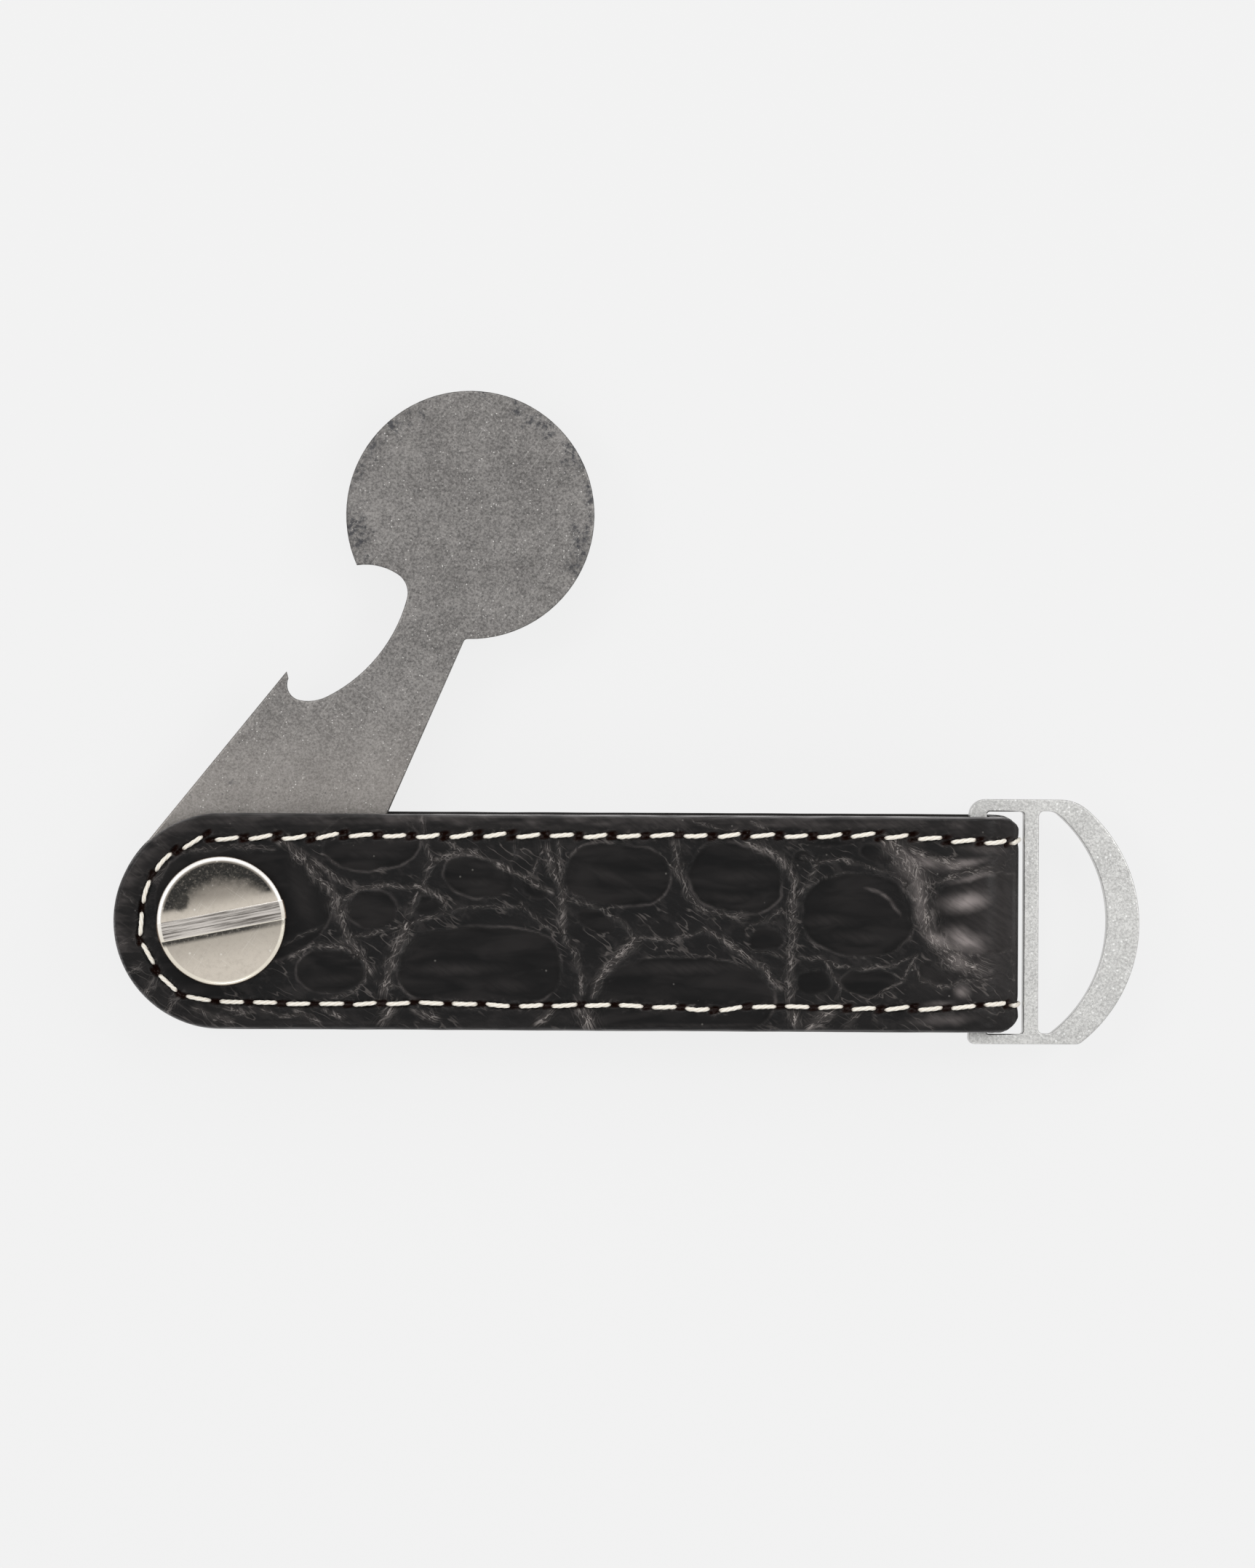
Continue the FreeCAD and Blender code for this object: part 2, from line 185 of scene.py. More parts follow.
def in_scene(name: str, data: Any) -> bpy.types.Object:
    """Make an object of a mesh, camera or light.

    Args:
        name: The object's name.
        data: What it holds.

    Returns:
        The object, linked to the scene.
    """
    made = bpy.data.objects.new(name, data)
    bpy.context.scene.collection.objects.link(made)
    return made


@dataclass
class MeshDraft:
    """Vertices and faces collected in millimetres before they become one mesh."""

    points: list[Array] = field(default_factory=list)
    faces: list[list[int]] = field(default_factory=list)
    count: int = 0

    def add(self, points: Array, faces: Iterable[Sequence[int]]) -> None:
        """Add a shell.

        Args:
            points: Its vertices, N by 3.
            faces: Its faces, numbered from 0 within the shell.
        """
        self.points.append(np.asarray(points, float))
        self.faces.extend([[int(i) + self.count for i in face] for face in faces])
        self.count += len(points)

    def object(self, name: str, smooth_below: float = 40.0) -> bpy.types.Object:
        """Make a Blender object of everything collected.

        Args:
            name: The object's name.
            smooth_below: Edges that turn by more degrees than this stay sharp.

        Returns:
            The object, linked to the scene.
        """
        mesh = bpy.data.meshes.new(name)
        mesh.from_pydata((np.concatenate(self.points) * MM).tolist(), [], self.faces)
        face_outward(mesh)
        made = in_scene(name, mesh)
        shade(mesh, smooth_below)
        return made


def face_outward(mesh: bpy.types.Mesh) -> None:
    """Turn every face outward.

    Args:
        mesh: One or more closed shells.
    """
    work = bmesh.new()
    work.from_mesh(mesh)
    bmesh.ops.recalc_face_normals(work, faces=work.faces[:])
    work.to_mesh(mesh)
    work.free()


def shade(mesh: bpy.types.Mesh, smooth_below: float) -> None:
    """Shade a mesh smoothly except over its sharp edges.

    Args:
        mesh: The mesh.
        smooth_below: Edges that turn by more degrees than this stay sharp.
    """
    mesh.polygons.foreach_set("use_smooth", [True] * len(mesh.polygons))
    mesh.set_sharp_from_angle(angle=math.radians(smooth_below))


def tube_faces(rings: int, sides: int) -> list[list[int]]:
    """Faces of a tube with closed ends, whose vertices are stored ring by ring.

    Args:
        rings: Number of rings.
        sides: Vertices in each ring.

    Returns:
        The faces.
    """
    faces = []
    for first in range(0, (rings - 1) * sides, sides):
        for side in range(sides):
            after = (side + 1) % sides
            faces.append([first + side, first + sides + side, first + sides + after, first + after])
    last = (rings - 1) * sides
    return faces + [list(range(sides))[::-1], [last + side for side in range(sides)]]


def lathe(draft: MeshDraft, profile: Sequence[tuple[float, float]], sides: int) -> None:
    """Add a solid of revolution about the pivot axis.

    Args:
        draft: Where it goes.
        profile: Points (radius, height) from the axis below to the axis above.
        sides: Number of sides.
    """
    turn = np.arange(sides) / sides * 2 * math.pi
    inner = [p for p in profile if p[0] > 1e-6]
    points = [[r * math.cos(a), r * math.sin(a), z] for a in turn for r, z in inner]
    rows = len(inner)
    faces = []
    for column in range(sides):
        first, second = column * rows, ((column + 1) % sides) * rows
        faces += [[first + r, second + r, second + r + 1, first + r + 1] for r in range(rows - 1)]
    for end, row in ((profile[0], 0), (profile[-1], rows - 1)):
        points.append([0.0, 0.0, end[1]])
        tip = len(points) - 1
        for column in range(sides):
            pair = [column * rows + row, ((column + 1) % sides) * rows + row]
            faces.append([tip, *(reversed(pair) if row == 0 else pair)])
    draft.add(np.array(points), faces)


def cut_with(target: bpy.types.Object, cutter: bpy.types.Object) -> None:
    """Cut one closed mesh out of another and remove the cutter.

    Args:
        target: The mesh to cut.
        cutter: The mesh to take away.
    """
    modifier = target.modifiers.new("cut", "BOOLEAN")
    modifier.operation, modifier.solver, modifier.object = "DIFFERENCE", "MANIFOLD", cutter
    graph = bpy.context.evaluated_depsgraph_get()
    result = bpy.data.meshes.new_from_object(target.evaluated_get(graph))
    target.modifiers.clear()
    old, target.data = target.data, result
    bpy.data.meshes.remove(old)
    bpy.data.objects.remove(cutter)


def coordinates(mesh: bpy.types.Mesh) -> Array:
    """Read a mesh's vertices.

    Args:
        mesh: The mesh.

    Returns:
        Millimetres, N by 3.
    """
    flat = np.zeros(len(mesh.vertices) * 3)
    mesh.vertices.foreach_get("co", flat)
    return flat.reshape(-1, 3) / MM


def write_back(mesh: bpy.types.Mesh, points: Array) -> None:
    """Move a mesh's vertices: points is N by 3, in millimetres."""
    mesh.vertices.foreach_set("co", (points * MM).ravel())
    mesh.update()


def store(mesh: bpy.types.Mesh, name: str, values: Array) -> None:
    """Store one number or one vector for each vertex, for the finish to read.

    Args:
        mesh: The mesh.
        name: Attribute name.
        values: N numbers, or N by 3.
    """
    is_vector = values.ndim == 2
    layer = mesh.attributes.new(name, "FLOAT_VECTOR" if is_vector else "FLOAT", "POINT")
    layer.data.foreach_set("vector" if is_vector else "value", values.astype(np.float32).ravel())


# ------------------------------------------------------------------ shader nodes


class Wiring:
    """Short calls that place and join shader nodes in one tree."""

    def __init__(self, tree: bpy.types.NodeTree) -> None:
        """Start on a tree that may already hold nodes."""
        self.tree = tree

    @classmethod
    def fresh(cls, owner: Any) -> "Wiring":
        """Start on an emptied tree.

        Args:
            owner: The material or world that has the tree.

        Returns:
            Its wiring.
        """
        owner.use_nodes = True
        owner.node_tree.nodes.clear()
        return cls(owner.node_tree)

    def feed(self, socket: bpy.types.NodeSocket, value: Any) -> None:
        """Fill an input.

        Args:
            socket: The input.
            value: A constant, or another node's socket.
        """
        if isinstance(value, bpy.types.NodeSocket):
            self.tree.links.new(value, socket)
        else:
            socket.default_value = value

    def node(self, kind: str, inputs: dict[Any, Any] | None = None, **settings: Any) -> Any:
        """Place a node.

        Args:
            kind: Blender's type name without the ShaderNode prefix.
            inputs: Socket name or number to a constant or to another node's socket.
            **settings: Properties of the node.

        Returns:
            The node.
        """
        made = self.tree.nodes.new("ShaderNode" + kind)
        for key, value in settings.items():
            setattr(made, key, value)
        for key, value in (inputs or {}).items():
            self.feed(made.inputs[key], value)
        return made

    def math(self, how: str, a: Any, b: Any = 0.0, clamp: bool = False) -> Any:
        """One step of arithmetic: how is Blender's name of the operation."""
        return self.node("Math", {0: a, 1: b}, operation=how, use_clamp=clamp).outputs[0]

    def times(self, first: Any, *others: Any) -> Any:
        """Multiply values.

        Args:
            first: A value.
            *others: What it is multiplied by.

        Returns:
            The product.
        """
        for other in others:
            first = self.math("MULTIPLY", first, other)
        return first

    def plus(self, a: Any, b: Any, clamp: bool = False) -> Any:
        """Sum of two values."""
        return self.math("ADD", a, b, clamp)

    def minus(self, a: Any, b: Any) -> Any:
        """Difference of two values."""
        return self.math("SUBTRACT", a, b)

    def larger(self, a: Any, b: Any) -> Any:
        """The larger of two values."""
        return self.math("MAXIMUM", a, b)

    def part(self, vector: Any, number: int) -> Any:
        """One part of a vector."""
        return self.node("SeparateXYZ", {0: vector}).outputs[number]

    def vector(self, x: Any, y: Any = 0.0, z: Any = 0.0) -> Any:
        """A vector of three values."""
        return self.node("CombineXYZ", {0: x, 1: y, 2: z}).outputs[0]

    def scaled(self, vector: Any, by: Sequence[float]) -> Any:
        """A vector with each part multiplied."""
        return self.node("VectorMath", {0: vector, 1: by}, operation="MULTIPLY").outputs[0]

    def flat(self, vector: Any) -> Any:
        """A vector without its height."""
        return self.scaled(vector, (1.0, 1.0, 0.0))

    def distance(self, vector: Any, point: Sequence[float] = (0.0, 0.0, 0.0)) -> Any:
        """Distance to a point."""
        return self.node("VectorMath", {0: vector, 1: point}, operation="DISTANCE").outputs["Value"]

    def turned(self, vector: Any, angle: float) -> Any:
        """A vector turned about the height."""
        return self.node("VectorRotate", {"Vector": vector, "Angle": angle},
                         rotation_type="Z_AXIS").outputs[0]

    def place(self) -> Any:
        """Place on the piece in millimetres; it moves with the piece."""
        return self.scaled(self.node("TexCoord").outputs["Object"], (1 / MM,) * 3)

    def noise(self, vector: Any, scale: Any, detail: float = 2.0, rough: float = 0.5,
              twist: float = 0.0) -> Any:
        """Noise from 0 to 1.

        Args:
            vector: Where it is read.
            scale: Cells per unit: one value, or a tuple with one number for each direction.
            detail: Finer layers.
            rough: Strength of the finer layers.
            twist: Distortion.

        Returns:
            The value socket.
        """
        if isinstance(scale, tuple):
            vector, scale = self.scaled(vector, scale), 1.0
        values = {"Vector": vector, "Scale": scale, "Detail": detail, "Roughness": rough,
                  "Distortion": twist}
        return self.node("TexNoise", values).outputs[0]

    def fit(self, value: Any, low: float, high: float, to_low: float = 0.0,
            to_high: float = 1.0) -> Any:
        """Map a range of values to another, held at its ends and eased between."""
        return self.node("MapRange", {0: value, 1: low, 2: high, 3: to_low, 4: to_high},
                         interpolation_type="SMOOTHSTEP").outputs[0]

    def veins(self, noise: Any, foot: float, core: float) -> Any:
        """Thin lines where a noise crosses its middle: none at foot from it, full at core."""
        return self.fit(self.math("ABSOLUTE", self.minus(noise, 0.5)), foot, core)

    def blend(self, share: Any, a: Any, b: Any) -> Any:
        """Mix two colours.

        Args:
            share: Share of the second.
            a: The first, a socket or three numbers.
            b: The second, a socket or three numbers.

        Returns:
            The colour socket.
        """
        made = self.node("Mix", {0: share}, data_type="RGBA")
        for number, value in ((6, a), (7, b)):
            self.feed(made.inputs[number], (*value, 1.0) if isinstance(value, tuple) else value)
        return made.outputs[2]

    def coats(self, ground: Any, *layers: tuple[Any, Any]) -> Any:
        """Lay colours over a ground.

        Args:
            ground: The colour below.
            *layers: Share and colour of each layer, from below to above.

        Returns:
            The colour socket.
        """
        for share, colour in layers:
            ground = self.blend(share, ground, colour)
        return ground

    def stored(self, name: str) -> Any:
        """Number that the mesh stores for each vertex."""
        return self.node("Attribute", attribute_name=name).outputs["Fac"]

    def stored_vector(self, name: str) -> Any:
        """Vector that the mesh stores for each vertex."""
        return self.node("Attribute", attribute_name=name).outputs["Vector"]

    def bump(self, height: Any, distance: float, strength: float = 1.0, under: Any = None) -> Any:
        """Normal from a height.

        Args:
            height: Height from 0 to 1.
            distance: Millimetres between 0 and 1.
            strength: Share that is used.
            under: A normal to add to.

        Returns:
            The normal socket.
        """
        values = {"Strength": strength, "Distance": distance * MM, "Height": height}
        if under is not None:
            values["Normal"] = under
        return self.node("Bump", values).outputs[0]

    def use(self, effect: bpy.types.NodeTree, vector: Any, scale: float, amount: float) -> Any:
        """Place a shared effect.

        Args:
            effect: Its node group.
            vector: Where it is read.
            scale: Cells per unit of the vector.
            amount: Its other number: amount, contrast or depth.

        Returns:
            The value socket.
        """
        return self.node("Group", {0: vector, 1: scale, 2: amount}, node_tree=effect).outputs[0]


class Effects:
    """Effects that several finishes share, each a node group that is built once."""

    def __init__(self) -> None:
        """Build every group."""
        self.specks = self._group("specks", "Amount", self._specks)
        self.scratches = self._group("scratches", "Amount", self._scratches)
        self.clouds = self._group("clouds", "Contrast", self._clouds)
        self.pores = self._group("pores", "Depth", self._pores)

    @staticmethod
    def _group(name: str, strength: str, pattern: Callable[..., Any]) -> bpy.types.NodeTree:
        """Make a group with a vector, a scale and a strength in, and one value out.

        Args:
            name: The group's name.
            strength: Name of its second number.
            pattern: Places the nodes between, from the wiring and the three inputs.

        Returns:
            The group.
        """
        group = bpy.data.node_groups.new(name, "ShaderNodeTree")
        group.interface.new_socket("Vector", in_out="INPUT", socket_type="NodeSocketVector")
        for number in ("Scale", strength):
            group.interface.new_socket(number, in_out="INPUT", socket_type="NodeSocketFloat")
        group.interface.new_socket("Value", in_out="OUTPUT", socket_type="NodeSocketFloat")
        entry = group.nodes.new("NodeGroupInput").outputs
        value = pattern(Wiring(group), entry[0], entry[1], entry[2])
        group.links.new(value, group.nodes.new("NodeGroupOutput").inputs[0])
        return group

    @staticmethod
    def _specks(net: Wiring, vector: Any, scale: Any, amount: Any) -> Any:
        """Scattered sharp specks.

        Args:
            net: The group's wiring.
            vector: Where it is read.
            scale: Cells per unit.
            amount: Share of the cells that hold a speck.

        Returns:
            1 in a speck, else 0.
        """
        cells = net.node("TexVoronoi", {"Vector": vector, "Scale": scale}).outputs
        draw = net.node("SeparateColor", {0: cells["Color"]}).outputs[0]
        return net.times(net.fit(cells["Distance"], 0.34, 0.12), net.math("LESS_THAN", draw, amount))

    @staticmethod
    def _scratches(net: Wiring, vector: Any, scale: Any, amount: Any) -> Any:
        """Fine straight scratches in three sets that cross.

        Args:
            net: The group's wiring.
            vector: Where it is read.
            scale: Cells per unit.
            amount: Strength.

        Returns:
            Share from 0 to 1.
        """
        total: Any = 0.0
        for turn, stretch in ((0.6, (0.25, 9.0, 1.0)), (-1.1, (0.3, 11.0, 1.0)), (2.2, (0.2, 8.0, 1.0))):
            lines = net.noise(net.scaled(net.turned(vector, turn), stretch), scale, 1.0)
            total = net.plus(net.fit(lines, 0.70, 0.76), total)
        return net.math("MULTIPLY", total, amount, True)

    @staticmethod
    def _clouds(net: Wiring, vector: Any, scale: Any, contrast: Any) -> Any:
        """Soft cloudy variation.

        Args:
            net: The group's wiring.
            vector: Where it is read.
            scale: Cells per unit.
            contrast: Strength.

        Returns:
            Value round a half.
        """
        cloud = net.noise(vector, scale, 5.0, 0.6)
        return net.plus(net.times(net.minus(cloud, 0.5), contrast), 0.5, True)

    @staticmethod
    def _pores(net: Wiring, vector: Any, scale: Any, depth: Any) -> Any:
        """Fine pored grain.

        Args:
            net: The group's wiring.
            vector: Where it is read.
            scale: Cells per unit.
            depth: Depth of the pores.

        Returns:
            Its height.
        """
        cells = net.node("TexVoronoi", {"Vector": vector, "Scale": scale}).outputs["Distance"]
        fine = net.noise(vector, scale, 4.0, 0.65)
        return net.minus(fine, net.times(net.fit(cells, 0.30, 0.05), depth))


# ------------------------------------------------------------------ finishes


@dataclass(frozen=True)
class Finish:
    """What every finish has: a name, a specular level and whether it is metal."""

    name: str
    specular: float = 0.5
    metallic: float = 0.0

    def material(self, effects: Effects) -> bpy.types.Material:
        """Make the material.

        Args:
            effects: The shared node groups.

        Returns:
            The material.
        """
        made = bpy.data.materials.new(self.name)
        net = Wiring.fresh(made)
        shader = net.node("BsdfPrincipled", {"Specular IOR Level": self.specular,
                                             "Metallic": self.metallic})
        net.node("OutputMaterial", {0: shader.outputs[0]})
        for socket, value in self.surface(net, effects).items():
            net.feed(shader.inputs[socket], value)
        return made

    def surface(self, net: Wiring, effects: Effects) -> dict[str, Any]:
        """What feeds the shader; each finish has its own.

        Args:
            net: The material's wiring.
            effects: The shared node groups.

        Returns:
            Socket name to a socket or a constant.
        """
        raise NotImplementedError


@dataclass(frozen=True)
class EmbossedHide(Finish):
    """Black hide with a reptile scale print, matt and fibrous in its creases; its colour also carries
    painted sheen, painted highlights and painted shade.
    """

    name: str = "hide_printed"
    plate: Colour = (0.0036, 0.0034, 0.0036)
    between: Colour = (0.0042, 0.0039, 0.0041)
    # painted shade beside creases, inside the scales' rims and in the seam's channel
    painted_shade: Colour = (0.0008, 0.0006, 0.0006)
    fibre: Colour = (0.330, 0.294, 0.276)
    # colour of the painted sheen and painted highlights
    painted_sheen: Colour = (0.290, 0.256, 0.248)
    prick: Colour = (0.011, 0.0036, 0.0022)
    # burnished edge, partly painted highlight
    burnish_and_edge_highlight: Colour = (0.36, 0.350, 0.352)
    dust: Colour = (0.4, 0.38, 0.35)

    def fibres(self, net: Wiring, comb: Any) -> Any:
        """Pale fibre in a crease: strands along it and hairs that lean out of it.

        Args:
            net: The material's wiring.
            comb: Place along the crease and beside it.

        Returns:
            Share from 0 to 1.
        """
        run, beside = net.part(comb, 0), net.part(comb, 1)
        flow = net.vector(run, beside)
        strands = net.veins(net.noise(flow, (0.5, 2.2, 0.0), 3.0, 0.55, 0.5), 0.040, 0.004)
        slanted = net.vector(net.plus(run, net.times(beside, 0.7)), beside, 3.0)
        hairs = net.fit(net.noise(slanted, (2.7, 0.75, 1.0), 3.0, 0.6, 0.7), 0.54, 0.63)
        uneven = net.fit(net.noise(flow, (0.55, 0.9, 0.0)), 0.36, 0.58, 0.25, 1.0)
        return net.times(net.larger(strands, net.times(hairs, 0.75)), uneven)

    def surface(self, net: Wiring, effects: Effects) -> dict[str, Any]:
        """Scales, creases, needle holes and the edge, which is partly burnished and partly painted
        highlight, from the mesh's own maps.

        Args:
            net: The material's wiring.
            effects: The shared node groups.

        Returns:
            Socket name to a socket or a constant.
        """
        place, comb = net.place(), net.stored_vector("comb")
        crease, plate = net.stored("crease"), net.stored("plate")
        bare = net.minus(1.0, plate)
        turned = net.turned(place, 0.6)
        cloud = net.use(effects.clouds, place, 0.45, 1.6)
        # pale fibre in the creases, and wisps of it between the scales
        fibres = self.fibres(net, comb)
        line = net.times(net.veins(net.noise(turned, (0.30, 1.15, 1.0), 2.0, 0.45), 0.030, 0.003), bare)
        wisps = net.times(line, net.fit(net.noise(place, 0.38), 0.46, 0.62), 0.20)
        tufts = net.times(net.plus(net.times(fibres, 0.80), 0.085), crease)
        # painted reflection: the sheen that the polish would throw back, painted into the colour
        gleam_streaks = net.fit(net.noise(place, (0.19, 0.62, 1.0), 2.5, 0.48, 0.5), 0.34, 0.76)
        sheen = net.times(gleam_streaks, net.fit(plate, 0.0, 1.0, 0.014, 0.040))
        lump_gleam = net.fit(net.noise(turned, (0.55, 0.9, 1.0), 3.0, 0.6), 0.48, 0.70)
        sheen = net.plus(sheen, net.times(lump_gleam, bare, 0.04))
        gleam_texture = net.fit(net.noise(turned, (0.45, 2.6, 1.0), 3.0, 0.55), 0.34, 0.62, 0.66, 1.0)
        painted_sheen = net.larger(net.times(net.stored("painted_highlight"), gleam_texture), sheen)
        streak = net.fit(net.noise(place, (0.35, 5.0, 5.0), 3.0), 0.40, 0.60, 0.40, 1.0)
        # painted shade, painted sheen and painted highlights are laid into the colour here
        colour = net.coats(
            net.blend(plate, self.between, self.plate), (net.times(cloud, 0.55), (0.0, 0.0, 0.0)),
            (net.times(net.part(comb, 2), 0.75), self.painted_shade), (painted_sheen, self.painted_sheen),
            (net.larger(tufts, wisps), self.fibre),
            (net.times(net.use(effects.specks, place, 2.6, 0.006), 0.22), self.dust),
            (net.times(net.stored("edge"), streak), self.burnish_and_edge_highlight), (net.stored("prick"), self.prick))
        # relief too fine for the mesh
        normal = net.bump(net.use(effects.pores, place, 6.0, 0.4), 0.008)
        normal = net.bump(net.times(fibres, net.math("MINIMUM", crease, 0.8)), 0.09, 1.0, normal)
        normal = net.bump(line, 0.012, 0.8, normal)
        soft = net.noise(place, (1.1, 2.0, 1.0), 3.0, 0.55)
        normal = net.bump(net.times(soft, net.plus(bare, 0.25)), 0.10, 0.9, normal)
        rough = net.plus(net.fit(plate, 0.0, 1.0, 0.40, 0.33), net.fit(cloud, 0.2, 0.8, -0.05, 0.06))
        shine = net.plus(net.plus(net.times(crease, fibres, 0.45), 0.135), net.times(bare, 0.02))
        return {"Base Color": colour, "Roughness": rough, "Normal": normal, "Specular IOR Level": shine}


@dataclass(frozen=True)
class SmoothHide(Finish):
    """Plain black lining leather with a fine grain and rubbed high spots."""

    name: str = "hide_smooth"
    specular: float = 0.22
    face: Colour = (0.014, 0.0125, 0.012)
    rubbed: Colour = (0.034, 0.030, 0.027)

    def surface(self, net: Wiring, effects: Effects) -> dict[str, Any]:
        """Fine pores, soft clouds and scuffs.

        Args:
            net: The material's wiring.
            effects: The shared node groups.

        Returns:
            Socket name to a socket or a constant.
        """
        place = net.place()
        pores = net.use(effects.pores, place, 3.2, 0.7)
        cloud = net.use(effects.clouds, place, 0.35, 1.8)
        scuff = net.use(effects.scratches, place, 0.9, 0.35)
        share = net.times(net.plus(net.fit(pores, 0.35, 0.75, 0.0, 0.5), scuff, True), cloud)
        return {"Base Color": net.blend(share, self.face, self.rubbed),
                "Roughness": net.fit(cloud, 0.2, 0.8, 0.46, 0.60), "Normal": net.bump(pores, 0.03, 0.9)}


@dataclass(frozen=True)
class BondedSheet(Finish):
    """Grey-brown fibre sheet, seen only as a line between the leathers."""

    name: str = "sheet_bonded"
    specular: float = 0.3
    face: Colour = (0.030, 0.026, 0.023)
    flake: Colour = (0.085, 0.074, 0.062)

    def surface(self, net: Wiring, effects: Effects) -> dict[str, Any]:
        """Pressed fibres that run along the sheet.

        Args:
            net: The material's wiring.
            effects: The shared node groups.

        Returns:
            Socket name to a socket or a constant.
        """
        place = net.place()
        fibres = net.noise(place, (1.2, 4.0, 9.0), 4.0, 0.65)
        flecks = net.times(net.use(effects.specks, place, 5.0, 0.25), 0.4)
        share = net.plus(net.fit(fibres, 0.4, 0.7, 0.0, 0.6), flecks, True)
        return {"Base Color": net.blend(share, self.face, self.flake), "Roughness": 0.8,
                "Normal": net.bump(fibres, 0.04)}


@dataclass(frozen=True)
class WaxedThread(Finish):
    """Cream twisted thread, waxed, with fine filaments along each ply."""

    name: str = "thread_waxed"
    specular: float = 0.95
    face: Colour = (1.0, 0.965, 0.88)
    # painted shade between the plies
    shade: Colour = (0.62, 0.48, 0.33)
    # painted shade where the ply goes down into its holes
    painted_hole_shade: Colour = (0.10, 0.055, 0.03)

    def surface(self, net: Wiring, effects: Effects) -> dict[str, Any]:
        """Filaments along the ply, with painted shade between the plies and where the ply goes down into
        its holes.

        Args:
            net: The material's wiring.
            effects: The shared node groups.

        Returns:
            Socket name to a socket or a constant.
        """
        lay = net.stored_vector("lay")
        # painted shade in the grooves between the plies
        between = net.fit(net.part(lay, 2), 0.75, 0.15)
        filaments = net.noise(lay, (1.5, 5.0, 0.0), 3.0, 0.6)
        cloud = net.use(effects.clouds, net.place(), 1.1, 1.4)
        share = net.times(net.fit(filaments, 0.38, 0.66, 0.32, 0.0), cloud)
        share = net.plus(share, net.times(between, 0.44), True)
        colour = net.coats(self.face, (share, self.shade), (net.stored("sunk"), self.painted_hole_shade))
        return {"Base Color": colour, "Roughness": 0.62, "Normal": net.bump(filaments, 0.03, 0.9)}


@dataclass(frozen=True)
class TumbledSteel(Finish):
    """Bare steel from the tumbler: grey, finely mottled, with dark pits and stains at its rim."""

    name: str = "steel_tumbled"
    metallic: float = 1.0
    dark: Colour = (0.108, 0.103, 0.100)
    pale: Colour = (0.300, 0.287, 0.275)
    stain: Colour = (0.045, 0.047, 0.054)
    warm: Colour = (0.42, 0.385, 0.35)
    # painted glints
    glint_fleck: Colour = (0.85, 0.83, 0.80)
    scratch: Colour = (0.58, 0.56, 0.54)
    token: Point = (23.1, 38.1, 0.0)

    def surface(self, net: Wiring, effects: Effects) -> dict[str, Any]:
        """Mottle at three sizes, stains that gather at the token's rim, pale specks that are painted
        glints, scratches.

        Args:
            net: The material's wiring.
            effects: The shared node groups.

        Returns:
            Socket name to a socket or a constant.
        """
        place = net.place()
        up = net.part(place, 1)
        middle, fine = net.noise(place, 1.4, 5.0, 0.72), net.noise(place, 4.2, 4.0, 0.82)
        broad = net.fit(net.use(effects.clouds, place, 0.16, 1.2), 0.25, 0.75, -0.035, 0.035)
        tone = net.plus(net.plus(net.times(middle, 0.22), net.times(fine, 0.78)), broad)
        gathered = net.fit(net.noise(place, 0.5, 3.0, 0.6), 0.40, 0.62, 0.15, 0.75)
        pits = net.use(effects.specks, net.scaled(place, (1.0, 1.2, 1.0)), 2.6, 0.06)
        rim = net.times(net.fit(net.distance(net.flat(place), self.token), 8.0, 11.2),
                        net.fit(up, 30.0, 34.0), 0.20)
        blotch = net.fit(net.plus(net.noise(place, 0.34, 5.0, 0.68), rim), 0.65, 0.77)
        grit = net.fit(net.noise(place, 2.4, 4.0, 0.72), 0.42, 0.60)
        colour = net.coats(
            net.blend(net.fit(tone, 0.34, 0.66), self.dark, self.pale),
            (net.times(net.fit(up, 24.0, 9.0), 0.30), self.warm),
            (net.times(net.use(effects.specks, place, 4.4, 0.13), gathered), self.glint_fleck),
            (net.plus(net.times(pits, 0.45), net.times(blotch, grit, 0.80), True), self.stain),
            (net.use(effects.scratches, place, 0.8, 0.20), self.scratch))
        relief = net.minus(fine, net.times(pits, 0.5))
        return {"Base Color": colour, "Roughness": net.fit(middle, 0.3, 0.7, 0.38, 0.52),
                "Normal": net.bump(relief, 0.02, 0.8)}


@dataclass(frozen=True)
class SatinSteel(Finish):
    """Pale satin plating with a salt of fine bright specks."""

    name: str = "steel_satin"
    metallic: float = 1.0
    dark: Colour = (0.40, 0.397, 0.388)
    pale: Colour = (0.66, 0.657, 0.640)
    salt: Colour = (0.97, 0.97, 0.96)
    pepper: Colour = (0.2, 0.2, 0.19)
    scratch: Colour = (0.9, 0.9, 0.88)

    def surface(self, net: Wiring, effects: Effects) -> dict[str, Any]:
        """Fine even mottle with bright and dark specks.

        Args:
            net: The material's wiring.
            effects: The shared node groups.

        Returns:
            Socket name to a socket or a constant.
        """
        place = net.place()
        fine = net.noise(place, 4.6, 5.0, 0.80)
        broad = net.fit(net.use(effects.clouds, place, 0.22, 1.2), 0.2, 0.8, -0.04, 0.04)
        pepper = net.use(effects.specks, net.scaled(place, (1.0, 1.1, 1.0)), 1.9, 0.06)
        colour = net.coats(
            net.blend(net.fit(net.plus(fine, broad), 0.34, 0.66), self.dark, self.pale),
            (net.times(net.use(effects.specks, place, 2.6, 0.18), 0.5), self.salt),
            (net.times(pepper, 0.35), self.pepper),
            (net.use(effects.scratches, place, 0.8, 0.25), self.scratch))
        return {"Base Color": colour, "Roughness": net.fit(fine, 0.3, 0.7, 0.28, 0.40),
                "Normal": net.bump(fine, 0.014, 0.8)}


